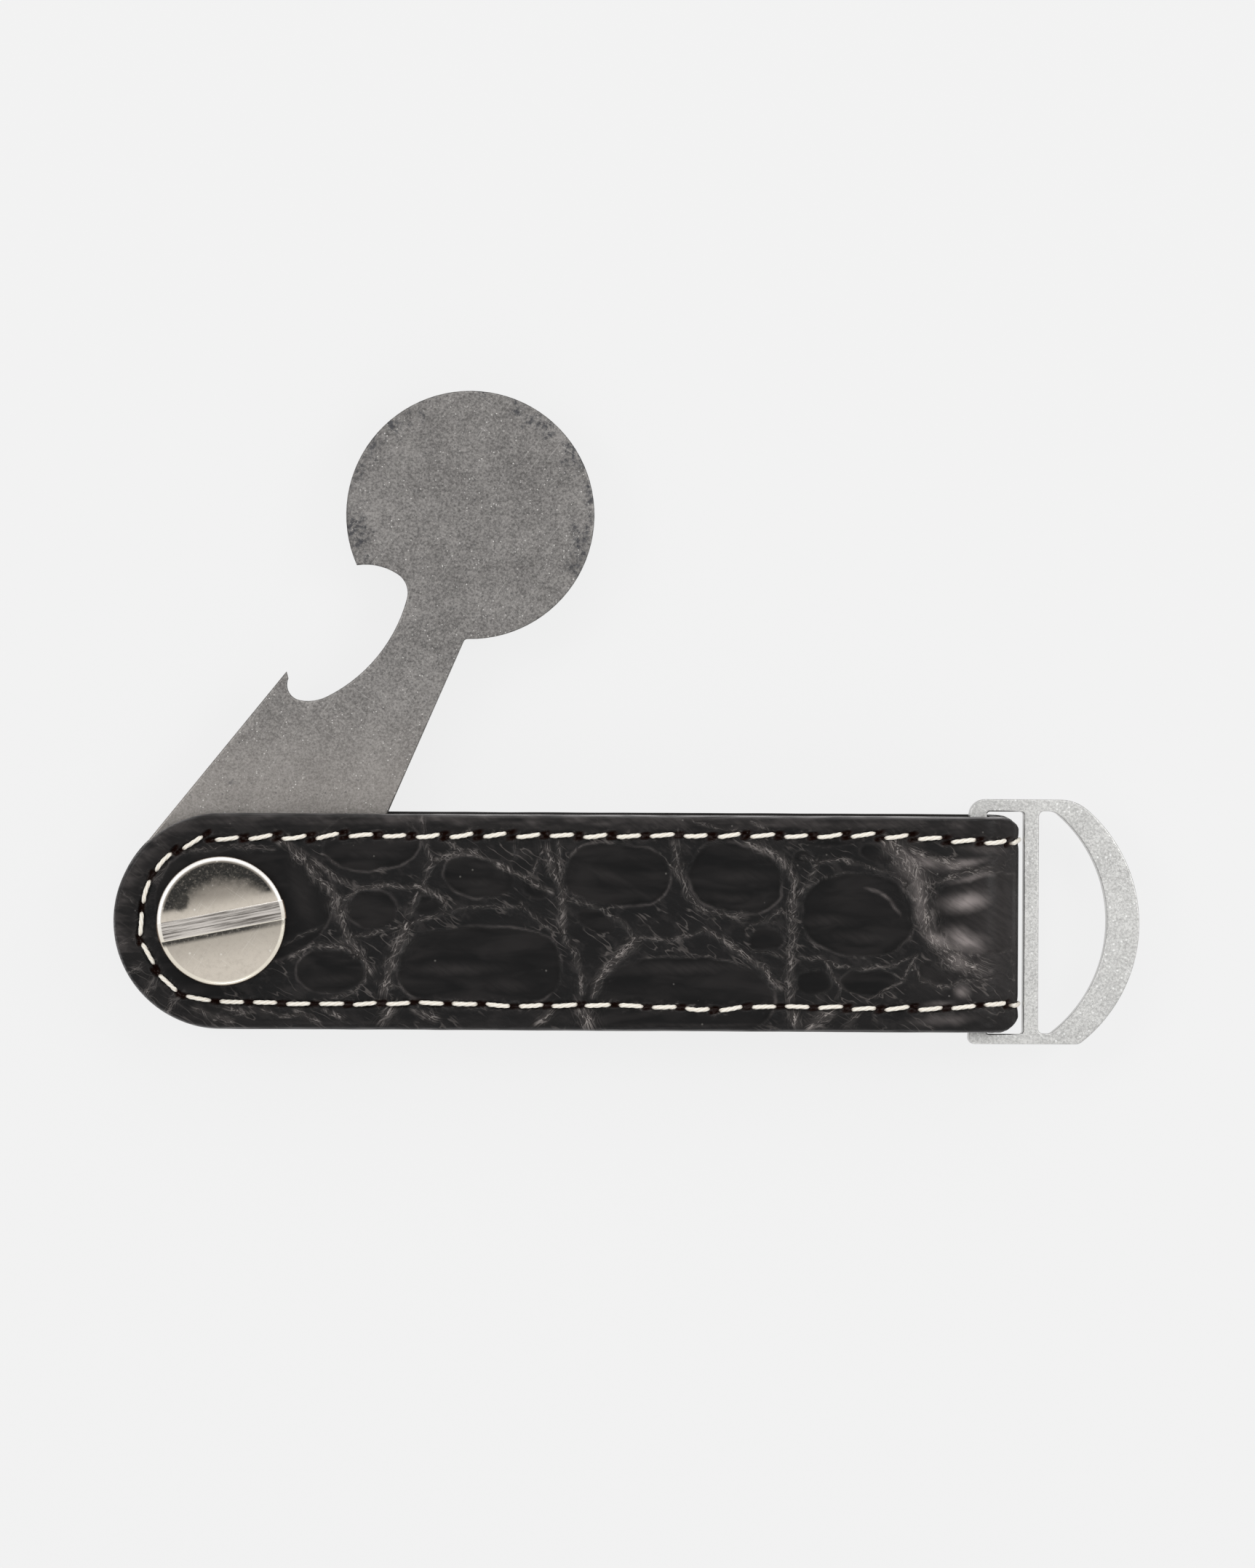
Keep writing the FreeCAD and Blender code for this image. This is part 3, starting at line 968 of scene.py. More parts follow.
@dataclass(frozen=True)
class PolishedNickel(Finish):
    """Nickel plate on the screw and post, warm; its colour carries a painted dark reflection, painted
    shade and a painted rim highlight.
    """

    name: str = "nickel_plate"
    metallic: float = 1.0
    pale: Colour = (0.66, 0.60, 0.52)
    # dull patches, and the painted dark reflection of the upper part
    dull_and_dark_reflection: Colour = (0.31, 0.278, 0.240)
    # painted dark reflection above the slot and painted shade under it
    painted_reflection_and_shade: Colour = (0.030, 0.029, 0.027)
    # painted rim highlight
    rim: Colour = (0.97, 0.94, 0.90)
    rim_low_highlight: Colour = (0.80, 0.745, 0.64)
    # painted reflection, darker near the slot's lower side
    shaded: Colour = (0.45, 0.41, 0.355)
    # painted shade as a dark line at the head's edge
    outline: Colour = (0.16, 0.115, 0.085)
    milled_pale: Colour = (0.655, 0.615, 0.575)
    milled_dark: Colour = (0.135, 0.122, 0.11)
    scratch: Colour = (0.9, 0.87, 0.8)
    slot_turn: float = 11.0
    bite_centre: Point = (0.35, -1.5, 0.0)
    spot_centre: Point = (-3.55, 2.65, 0.0)

    def painted_reflection_mask(self, net: Wiring, effects: Effects, turned: Any, grit: Any) -> Any:
        """Painted dark reflection, a crescent above the slot and a spot beside it, and painted shade, a
        line under the slot.

        Args:
            net: The material's wiring.
            effects: The shared node groups.
            turned: Place with the slot along X.
            grit: Fine noise.

        Returns:
            Share from 0 to 1.
        """
        place, flat, across = net.place(), net.flat(turned), net.part(turned, 1)
        ragged = net.noise(place, 1.0, 6.0, 0.70)
        bite = net.plus(net.distance(flat, self.bite_centre), net.times(ragged, 1.7))
        glints = net.times(net.use(effects.specks, place, 3.4, 0.22), 0.5)
        crescent = net.times(net.fit(bite, 5.1, 6.7), net.fit(net.distance(flat), 5.60, 5.40),
                             net.fit(across, 1.5, 2.1), net.fit(grit, 0.30, 0.52, 0.62, 1.0),
                             net.minus(1.0, glints))
        spot = net.plus(net.distance(flat, self.spot_centre), net.times(ragged, 0.9))
        spot = net.times(net.fit(spot, 1.75, 1.15), net.fit(grit, 0.28, 0.50, 0.65, 0.95))
        under = net.times(net.fit(across, -1.62, -1.16), net.fit(across, -0.92, -0.97),
                          net.fit(grit, 0.34, 0.50, 0.60, 1.0),
                          net.fit(net.part(turned, 0), 6.2, 2.0, 0.60, 1.0), 0.95)
        return net.larger(net.larger(crescent, spot), under)

    def surface(self, net: Wiring, effects: Effects) -> dict[str, Any]:
        """Painted dark reflection above the slot, dull patches, a painted darker upper part and a painted
        gradient below the slot, the milled slot, a painted rim highlight, a painted dark edge line and
        hairlines.

        Args:
            net: The material's wiring.
            effects: The shared node groups.

        Returns:
            Socket name to a socket or a constant.
        """
        place = net.place()
        turned = net.turned(place, -math.radians(self.slot_turn))
        across, up, reach = net.part(turned, 1), net.part(turned, 2), net.distance(net.flat(turned))
        grit, mottle = net.noise(place, 3.4, 5.0, 0.78), net.noise(place, 2.2, 5.0, 0.7)
        top = net.fit(up, 10.45, 10.55)
        painted_reflection_and_shade = net.times(self.painted_reflection_mask(net, effects, turned, grit), top)
        milled = net.fit(net.noise(turned, (0.16, 5.2, 1.0), 4.0, 0.65), 0.39, 0.64)
        in_slot = net.times(net.fit(up, 10.2, 10.05), net.fit(up, 9.5, 9.7))
        # painted highlight along the slot's lower edge
        lip_highlight = net.times(net.fit(across, -0.99, -0.93), top, net.fit(across, 0.0, -0.5))
        marks = net.plus(net.use(effects.scratches, place, 1.1, 0.3),
                         net.use(effects.specks, place, 2.4, 0.05), True)
        # painted reflection: shaded near the slot's lower side to pale at the bottom, darker above the
        # slot; painted rim and lip highlights; painted shade in the dark edge line
        colour = net.coats(
            net.blend(net.fit(across, -0.8, -4.6), self.shaded, self.pale),
            (net.fit(across, -0.9, 0.9), self.pale), (net.fit(across, 0.9, 2.7), self.dull_and_dark_reflection),
            (net.fit(mottle, 0.40, 0.75, 0.0, 0.35), self.dull_and_dark_reflection),
            (in_slot, net.blend(milled, self.milled_pale, self.milled_dark)),
            (net.larger(net.fit(reach, 5.58, 5.70), lip_highlight),
             net.blend(net.fit(across, -1.5, 1.5), self.rim_low_highlight, self.rim)),
            (net.fit(reach, 5.93, 6.03), self.outline), (net.times(marks, 0.5), self.scratch),
            (painted_reflection_and_shade, self.painted_reflection_and_shade))
        rough = net.plus(net.fit(mottle, 0.3, 0.7, 0.20, 0.30), net.times(painted_reflection_and_shade, 0.2))
        return {"Base Color": colour, "Roughness": rough, "Normal": net.bump(grit, 0.006, 0.6)}


@dataclass(frozen=True)
class PressedFibre(Finish):
    """Dark brown pressed fibre of the washer under the screw's head."""

    name: str = "fibre_pressed"
    specular: float = 0.3
    face: Colour = (0.040, 0.022, 0.014)
    flake: Colour = (0.110, 0.062, 0.038)

    def surface(self, net: Wiring, effects: Effects) -> dict[str, Any]:
        """Felted fibres and flecks.

        Args:
            net: The material's wiring.
            effects: The shared node groups.

        Returns:
            Socket name to a socket or a constant.
        """
        place = net.place()
        felt = net.noise(place, 3.4, 5.0, 0.7, 0.8)
        flecks = net.times(net.use(effects.specks, place, 4.0, 0.2), 0.3)
        share = net.plus(net.fit(felt, 0.4, 0.7, 0.0, 0.7), flecks, True)
        return {"Base Color": net.blend(share, self.face, self.flake), "Roughness": 0.75,
                "Normal": net.bump(felt, 0.03)}


@dataclass(frozen=True)
class SlipPlastic(Finish):
    """Milky hard plastic of the slip washers."""

    name: str = "plastic_slip"
    specular: float = 0.45
    face: Colour = (0.62, 0.61, 0.57)
    rubbed: Colour = (0.38, 0.37, 0.35)

    def surface(self, net: Wiring, effects: Effects) -> dict[str, Any]:
        """Rings rubbed into the plastic as the tool turns.

        Args:
            net: The material's wiring.
            effects: The shared node groups.

        Returns:
            Socket name to a socket or a constant.
        """
        place = net.place()
        rings = net.noise(net.vector(net.distance(net.flat(place))), 9.0, 3.0, 0.6)
        cloud = net.use(effects.clouds, place, 0.6, 1.3)
        share = net.times(net.fit(rings, 0.4, 0.65), cloud)
        return {"Base Color": net.blend(share, self.face, self.rubbed),
                "Roughness": net.fit(cloud, 0.2, 0.8, 0.38, 0.55), "Normal": net.bump(rings, 0.01)}


# ------------------------------------------------------------------ the scale print


@dataclass(frozen=True)
class Plate:
    """One flat scale: an oval that stands a little proud."""

    x: float
    y: float
    half_length: float
    half_height: float
    tilt: float = 0.0
    squareness: float = 2.2
    rise: float = 1.0

    def depth_inside(self, x: Array, y: Array) -> Array:
        """How far inside the outline each point is.

        Args:
            x: Place along the strap.
            y: Place across it.

        Returns:
            Millimetres; negative is outside.
        """
        u, v = turned_by(x - self.x, y - self.y, self.tilt)
        power = self.squareness
        q = np.abs(u / self.half_length) ** power + np.abs(v / self.half_height) ** power
        q = q ** (1 / power)
        reach = np.hypot(u, v) / np.maximum(q, 1e-3)
        return (1.0 - q) * np.where(q < 1e-3, self.half_height, reach)


@dataclass(frozen=True)
class Crease:
    """One fibrous crease between scales: a line through points, with a width and a shine."""

    points: tuple[tuple[float, float], ...]
    width: float = 0.35
    shine: float = 0.6
    depth: float = 0.10

    def nearest(self, x: Array, y: Array) -> tuple[Array, Array, Array]:
        """Closest place on the line for each point.

        Args:
            x: Place along the strap.
            y: Place across it.

        Returns:
            Distance, length along the line, and signed distance to one side.
        """
        best, run = np.full(x.shape, FAR), 0.0
        along, beside = np.zeros(x.shape), np.zeros(x.shape)
        for (ax, ay), (bx, by) in zip(self.points, self.points[1:]):
            length = math.hypot(bx - ax, by - ay)
            ux, uy = (bx - ax) / length, (by - ay) / length
            t = np.clip((x - ax) * ux + (y - ay) * uy, 0.0, length)
            gap = np.hypot(x - ax - t * ux, y - ay - t * uy)
            closer = gap < best
            best = np.where(closer, gap, best)
            along = np.where(closer, run + t, along)
            beside = np.where(closer, (y - ay) * ux - (x - ax) * uy, beside)
            run += length
        return best, along, beside


@dataclass(frozen=True)
class PaintedSheenPatch:
    """A soft patch of painted sheen on the hide."""

    x: float
    y: float
    half_length: float
    half_height: float
    strength: float
    tilt: float = 0.0

    def veil(self, x: Array, y: Array) -> Array:
        """How strong the patch is at each point.

        Args:
            x: Place along the strap.
            y: Place across it.

        Returns:
            Share from 0 to the patch's strength.
        """
        u, v = turned_by(x - self.x, y - self.y, self.tilt)
        return self.strength * np.exp(-((u / self.half_length) ** 2) - (v / self.half_height) ** 2)


@dataclass(frozen=True)
class ScalePrint:
    """Layout of the scales on the front leaf, in millimetres from the pivot."""

    # x, y, half length, half height, tilt, squareness, rise
    plates: tuple[Plate, ...] = tuple(Plate(*row) for row in (
        (2.2, 2.0, 8.3, 6.0, 0, 2.0, 0.6), (13.9, 7.4, 4.6, 2.6), (14.1, 1.2, 2.4, 1.8, -5),
        (19.3, 1.7, 1.15, 0.85), (24.0, 4.2, 3.3, 1.9, -10), (29.3, 3.2, 1.3, 0.8, -30, 2.0, 0.6),
        (24.2, -4.2, 7.6, 3.7, 0, 3.0), (10.2, -4.6, 3.2, 2.1), (37.0, 4.5, 5.0, 2.9, -4, 2.4),
        (42.8, -7.2, 9.0, 4.1, 0, 2.1), (48.1, 4.2, 4.4, 3.2, -14, 2.4), (59.5, 0.9, 5.3, 3.9, -3, 2.3),
        (72.0, 1.2, 5.4, 3.8, 0, 2.4), (66.4, -4.5, 1.7, 1.1), (50.9, -1.5, 1.6, 1.1),
        (60.6, -5.4, 2.6, 1.2), (55.4, -5.5, 1.7, 1.2), (61.2, 6.6, 1.6, 0.8, -12),
        (66.2, 6.2, 1.6, 0.6, -20), (54.3, 6.3, 0.9, 0.6), (69.3, -6.0, 0.6, 0.5),
        (-3.0, -6.0, 4.0, 2.0, -35, 2.0, 0.5), (20.5, 7.6, 1.2, 1.2, 0, 2.0, 0.5),
        (57.0, 8.2, 3.4, 0.9, 0, 2.0, 0.6), (35.0, 0.2, 1.9, 1.0, -25, 2.0, 0.6),
    ))
    # points, width, shine, depth
    creases: tuple[Crease, ...] = tuple(Crease(*row) for row in (
        # round the screw's scale and the ovals beyond it
        (((5.7, 7.5), (7.8, 5.5), (10.5, 2.4), (11.3, 0.3), (12.0, -1.6), (13.8, -4.5)), 0.45, 0.95),
        (((8.4, 5.6), (10.5, 4.2), (12.8, 3.2), (16.2, 3.4), (18.7, 3.3), (20.8, 2.2)), 0.28, 0.8),
        (((12.9, 3.1), (11.4, 2.0), (11.2, 0.6)), 0.2, 0.6), (((9.6, -0.4), (5.4, -2.4)), 0.16, 0.3),
        (((18.7, 9.7), (18.9, 7.2), (19.7, 5.8), (18.7, 3.3)), 0.26, 0.5),
        (((18.3, 2.6), (17.6, 0.6)), 0.36, 0.55),
        (((11.8, -1.6), (15.7, -0.7), (17.6, -0.3), (20.8, 0.9)), 0.16, 0.7),
        (((20.9, 2.2), (20.9, 0.9), (23.8, 1.4), (28.0, 1.5)), 0.2, 0.4),
        # the lower left oval and the broad band beside it
        (((6.6, -3.4), (7.8, -2.4), (9.5, -2.2), (11.4, -2.5), (13.1, -3.4)), 0.22, 0.7),
        (((13.6, -4.6), (13.4, -5.6), (12.6, -6.6), (10.4, -7.1)), 0.16, 0.5),
        (((17.4, -0.4), (16.6, -2.0), (16.0, -3.8), (15.3, -6.6)), 0.55, 1.0, 0.13),
        # the long diagonal under the top seam
        (((21.2, 7.5), (22.4, 6.4)), 0.3, 0.6),
        (((19.7, 5.8), (22.4, 6.4), (23.7, 6.5), (25.7, 5.5), (28.7, 4.0), (30.8, 2.9)), 0.24, 0.85),
        (((30.1, 6.7), (28.7, 4.0)), 0.16, 0.5), (((27.4, 7.2), (27.3, 5.9)), 0.14, 0.4),
        (((30.4, 6.9), (31.0, 4.6), (31.9, 2.6), (31.9, -1.0)), 0.42, 0.85, 0.12),
        (((31.6, 7.5), (31.5, 4.6), (32.3, 2.4)), 0.22, 0.5),
        (((28.0, 1.7), (30.1, -0.2), (31.6, -1.0)), 0.2, 0.5),
        (((31.9, -1.0), (32.3, -1.9), (33.1, -2.8), (33.8, -6.6)), 0.3, 0.6),
        (((32.3, 2.2), (35.6, 1.3), (37.6, 0.0), (38.6, -1.1), (41.7, -1.7), (45.0, -0.8)), 0.2, 0.45),
        (((38.9, -1.4), (37.2, -3.1), (35.3, -5.2), (34.8, -6.9)), 0.42, 0.9, 0.12),
        # between the middle scales
        (((42.4, 7.5), (42.8, 4.8), (43.7, 2.5), (45.4, 1.2), (48.8, 0.6)), 0.42, 0.6, 0.11),
        (((45.3, -0.6), (47.6, -1.9), (49.6, -3.4), (50.8, -4.3), (52.2, -6.0)), 0.3, 1.0, 0.12),
        (((49.4, 7.5), (52.1, 6.4), (53.0, 5.2), (53.6, 4.0), (53.3, 0.8)), 0.36, 0.85, 0.12),
        (((53.3, 0.8), (53.4, -1.0), (53.1, -4.2), (53.2, -7.0)), 0.5, 0.65, 0.12),
        (((55.7, 5.8), (54.9, 3.8), (53.9, 2.6)), 0.3, 0.5),
        (((54.2, 6.3), (55.7, 5.7), (58.0, 6.1), (60.3, 5.4), (62.5, 4.9), (64.0, 3.9)), 0.18, 0.6),
        (((49.4, -0.2), (50.7, 0.1), (52.5, 1.3)), 0.16, 0.5),
        (((49.4, -2.4), (51.4, -2.9), (53.0, -3.2)), 0.14, 0.35),
        # below the big scale
        (((54.1, -3.0), (56.2, -3.3), (57.8, -4.0), (60.3, -4.2), (62.6, -3.9), (64.8, -3.0)), 0.18, 0.55),
        (((56.4, -3.5), (57.3, -4.9), (58.0, -6.1), (57.5, -7.0)), 0.2, 0.6),
        (((64.9, -3.0), (63.5, -5.5), (61.2, -6.7)), 0.18, 0.5),
        (((64.8, -3.6), (65.3, -5.1), (67.5, -5.9), (69.4, -5.3), (72.1, -5.1)), 0.2, 0.6),
        # the shiny band before the fold
        (((62.0, 7.7), (64.3, 5.8), (65.1, 4.2), (65.8, 1.7), (66.3, -1.0), (67.5, -2.2),
          (68.9, -3.4), (70.9, -4.2)), 0.85, 1.1, 0.10),
        (((67.1, 4.0), (68.7, 4.7), (71.7, 5.0)), 0.3, 0.7),
        (((64.8, 6.8), (68.0, 5.8), (70.1, 5.2)), 0.45, 0.8),
        # wrinkles across the border at the rounded end
        (((-7.9, -1.2), (-8.9, -1.9), (-9.6, -3.0)), 0.35, 0.32),
        (((-7.4, -4.0), (-8.6, -4.8)), 0.4, 0.42), (((-6.3, -5.6), (-7.0, -6.9)), 0.45, 0.55),
        (((-4.2, -7.1), (-5.0, -8.4)), 0.4, 0.6),
        (((-2.2, -8.2), (-0.5, -9.0), (1.0, -9.3)), 0.35, 0.6), (((0.5, -8.0), (2.5, -8.7)), 0.3, 0.55),
        (((-8.4, 1.8), (-9.3, 2.6)), 0.3, 0.16), (((-5.9, 7.2), (-6.4, 7.7)), 0.3, 0.22),
        (((4.0, -8.3), (5.6, -8.9), (7.4, -8.7)), 0.25, 0.5), (((9.5, -8.2), (11.5, -9.1)), 0.25, 0.45),
        (((-4.4, 6.4), (1.0, 7.0), (4.6, 6.9)), 0.3, 0.35), (((-6.3, 3.9), (-5.2, 5.2)), 0.3, 0.35),
        # wrinkles in the lower border
        (((15.8, -8.2), (15.2, -9.3)), 0.6, 0.6), (((18.0, -8.3), (20.0, -9.0)), 0.4, 0.5),
        (((30.8, -8.3), (29.6, -9.4)), 0.4, 0.6), (((33.9, -8.2), (34.5, -9.5)), 0.6, 0.8),
        (((53.5, -8.2), (53.8, -9.4)), 0.6, 0.8), (((57.2, -8.3), (55.3, -9.5)), 0.5, 0.8),
        (((59.5, -8.6), (58.6, -9.6)), 0.3, 0.4), (((7.0, -8.5), (9.0, -9.3)), 0.3, 0.4),
        (((44.0, 9.5), (46.5, 8.9), (48.5, 8.6)), 0.16, 0.4), (((49.5, 9.6), (51.3, 8.6)), 0.14, 0.5),
    ))
    # patches of painted sheen on the hide
    # x, y, half length, half height, strength, tilt
    painted_sheen_patches: tuple[PaintedSheenPatch, ...] = tuple(PaintedSheenPatch(*row) for row in (
        (69.7, 2.1, 1.8, 0.8, 0.93, 6), (70.6, 2.5, 2.2, 1.2, 0.22), (69.6, -1.5, 1.6, 0.85, 0.93, -22),
        (70.8, -1.4, 2.2, 1.1, 0.20, -10), (61.0, 3.15, 0.8, 0.13, 0.34, -18),
        (62.1, 2.5, 0.8, 0.13, 0.44, -38), (62.9, 1.6, 0.8, 0.12, 0.30, -56),
        (67.1, -1.4, 1.3, 0.5, 0.6, -25), (69.0, -3.5, 1.0, 0.7, 0.42, -40),
        (69.3, -6.3, 0.6, 0.6, 0.6), (65.7, 5.9, 2.0, 0.5, 0.55, -14), (69.4, 5.7, 1.9, 0.4, 0.6, 14),
        (70.4, 4.4, 1.9, 0.26, 0.5, 12), (67.4, -7.5, 1.4, 0.3, 0.3), (67.6, -8.9, 2.6, 0.5, 0.30, 4),
        (71.8, 7.1, 2.6, 0.5, 0.2, -4), (73.4, 0.5, 4.4, 9.5, 0.115), (65.2, 2.6, 0.55, 2.8, 0.36, 8),
        (64.4, 5.4, 1.2, 1.8, 0.22, 30), (66.5, -5.0, 3.0, 2.0, 0.05), (56.7, 0.3, 2.4, 0.5, 0.060),
        (59.0, 2.2, 4.2, 0.9, 0.025), (60.5, -1.2, 3.4, 0.6, 0.060), (62.5, 0.0, 2.4, 3.0, 0.02),
        (21.8, -4.4, 4.2, 0.55, 0.070), (26.7, -5.9, 2.4, 0.7, 0.050), (24.5, -2.2, 6.0, 0.8, 0.018),
        (43.7, -4.2, 6.5, 0.55, 0.065), (42.0, -6.3, 6.0, 0.6, 0.022), (24.0, 3.6, 2.6, 0.5, 0.05),
        (24.4, 5.2, 2.2, 0.4, 0.040, -8), (48.4, 4.4, 3.4, 0.6, 0.050),
        (47.6, 2.4, 2.8, 0.4, 0.045, -8), (35.8, 4.5, 3.4, 0.6, 0.055, -18),
        (38.0, 6.1, 3.4, 0.4, 0.030), (39.0, 2.7, 2.6, 0.4, 0.040, -8),
        (13.9, 6.4, 3.6, 0.5, 0.050, -3), (10.4, -5.4, 2.4, 0.5, 0.050), (14.3, 1.6, 1.7, 0.4, 0.035),
        (7.6, 2.4, 1.0, 3.0, 0.050, 20), (60.0, 9.3, 9.0, 0.4, 0.09), (42.0, 9.7, 9.0, 0.2, 0.14),
        (10.0, -9.5, 9.0, 0.2, 0.06), (45.0, -9.5, 9.0, 0.2, 0.06), (-8.6, 3.0, 0.7, 4.0, 0.04, -20),
    ))

    def scales(self, x: Array, y: Array) -> tuple[Array, Array, Array, Array]:
        """Maps of the scales.

        Args:
            x: Place along the strap.
            y: Place across it.

        Returns:
            Where scales are, their swell in millimetres, their rim, and painted shade just inside the rim.
        """
        plate, swell, rim, painted_rim_shade = (np.zeros(x.shape) for _ in range(4))
        for scale in self.plates:
            near = np.abs(x - scale.x) < scale.half_length + 1.5
            inside = scale.depth_inside(x[near], y[near])
            body = smooth_step(-0.16, 0.20, inside)
            dome = 1.0 - np.exp(-np.maximum(inside, 0.0) / 1.3)
            drawn = scale.rise * min(1.0, scale.half_height / 2.2)
            lift(plate, near, body)
            lift(swell, near, scale.rise * (0.09 * body + 0.14 * dome))
            lift(rim, near, drawn * bell(inside + 0.05, 0.13))
            lift(painted_rim_shade, near, scale.rise * bell(inside - 0.28, 0.20))
        return plate, swell, rim, painted_rim_shade

    def furrows(self, x: Array, y: Array, comb: Array) -> tuple[Array, Array, Array]:
        """Maps of the creases.

        Args:
            x: Place along the strap.
            y: Place across it.
            comb: Place for the fibres' noise, N by 3, which is laid along each crease here.

        Returns:
            Fibre, depth of the groove, and painted shade beside it.
        """
        crease, groove, painted_shade = (np.zeros(x.shape) for _ in range(3))
        nearest = np.full(x.shape, FAR)
        for number, line in enumerate(self.creases):
            ends = [p[0] for p in line.points]
            near = (x > min(ends) - 2.5) & (x < max(ends) + 2.5)
            gap, run, beside = line.nearest(x[near], y[near])
            ragged = 1.0 + 0.45 * value_noise(run * 1.7, np.full(run.shape, number * 3.3), 31)
            width = 0.80 * line.width * ragged
            valley, skirt = bell(gap, width), np.exp(-gap / (1.3 * width))
            ridge = bell(gap, 0.38 * width) * min(1.0, line.width / 0.4)
            beyond = bell(gap - 1.45 * width, 0.55 * width) * min(1.0, 1.6 * line.shine)
            lift(crease, near, line.shine * (0.88 * valley + 0.12 * skirt))
            lift(groove, near, line.depth * (valley - 0.5 * ridge))
            lift(painted_shade, near, beyond)
            weight = gap / width
            closer = (weight < nearest[near]) & (gap < 1.8)
            rows = np.flatnonzero(near)[closer]
            nearest[rows] = weight[closer]
            comb[rows, 0] = run[closer] + 0.45 * beside[closer] + 7.3 * number
            comb[rows, 1] = beside[closer]
        return crease, groove, painted_shade

    def read(self, along: Array, across: Array) -> dict[str, Array]:
        """Height and finish maps of the print.

        Args:
            along: Place along the strap.
            across: Place across it.

        Returns:
            Arrays: height in millimetres, plate, crease, painted highlight, and comb, which holds the
                place along and beside the crease and the painted shade.
        """
        x = along + 0.22 * layered_noise(along * 0.8, across * 0.8, 11)
        y = across + 0.22 * layered_noise(along * 0.8, across * 0.8, 23)
        comb = np.stack([along * 0.8, across * 0.8, np.zeros(x.shape)], axis=1)
        plate, swell, rim, painted_rim_shade = self.scales(x, y)
        crease, groove, painted_shade = self.furrows(x, y, comb)
        painted_highlight = np.zeros(x.shape)
        for painted_sheen in self.painted_sheen_patches:
            painted_highlight = np.maximum(painted_highlight, painted_sheen.veil(x, y))
        wrinkle = layered_noise(comb[:, 0] * 2.1, comb[:, 1] * 0.6, 47, 2)
        slack = layered_noise(along * 0.5, across * 0.9, 61)
        height = swell - 0.12 - 1.3 * groove + 0.05 * wrinkle * np.clip(crease, 0, 1)
        height = height + 0.03 * slack * (1 - plate)
        # painted highlight along the scales' rims, laid into the crease map and the painted highlight map
        broken = smooth_step(-0.25, 0.55, layered_noise(along * 0.33, across * 0.33, 131))
        crease = np.maximum(crease, 0.16 * rim * broken)
        patchy = smooth_step(-0.4, 0.3, layered_noise(along * 0.4, across * 0.4, 151))
        painted_highlight = np.maximum(painted_highlight, 0.17 * rim * patchy)
        # painted shade beside the creases and just inside the scales' rims
        dark = painted_shade * np.clip(1.0 - 1.6 * crease, 0.0, 1.0) * (1.0 - 0.4 * plate)
        comb[:, 2] = np.maximum(dark, 0.9 * painted_rim_shade)
        return {"height": height, "plate": plate, "crease": np.clip(crease, 0.0, 1.2),
                "painted_highlight": painted_highlight, "comb": comb}


# ------------------------------------------------------------------ the strap


@dataclass(frozen=True)
class Stitch:
    """One stitch on the unfolded strip: middle, heading and length."""

    along: float
    across: float
    heading: float
    length: float


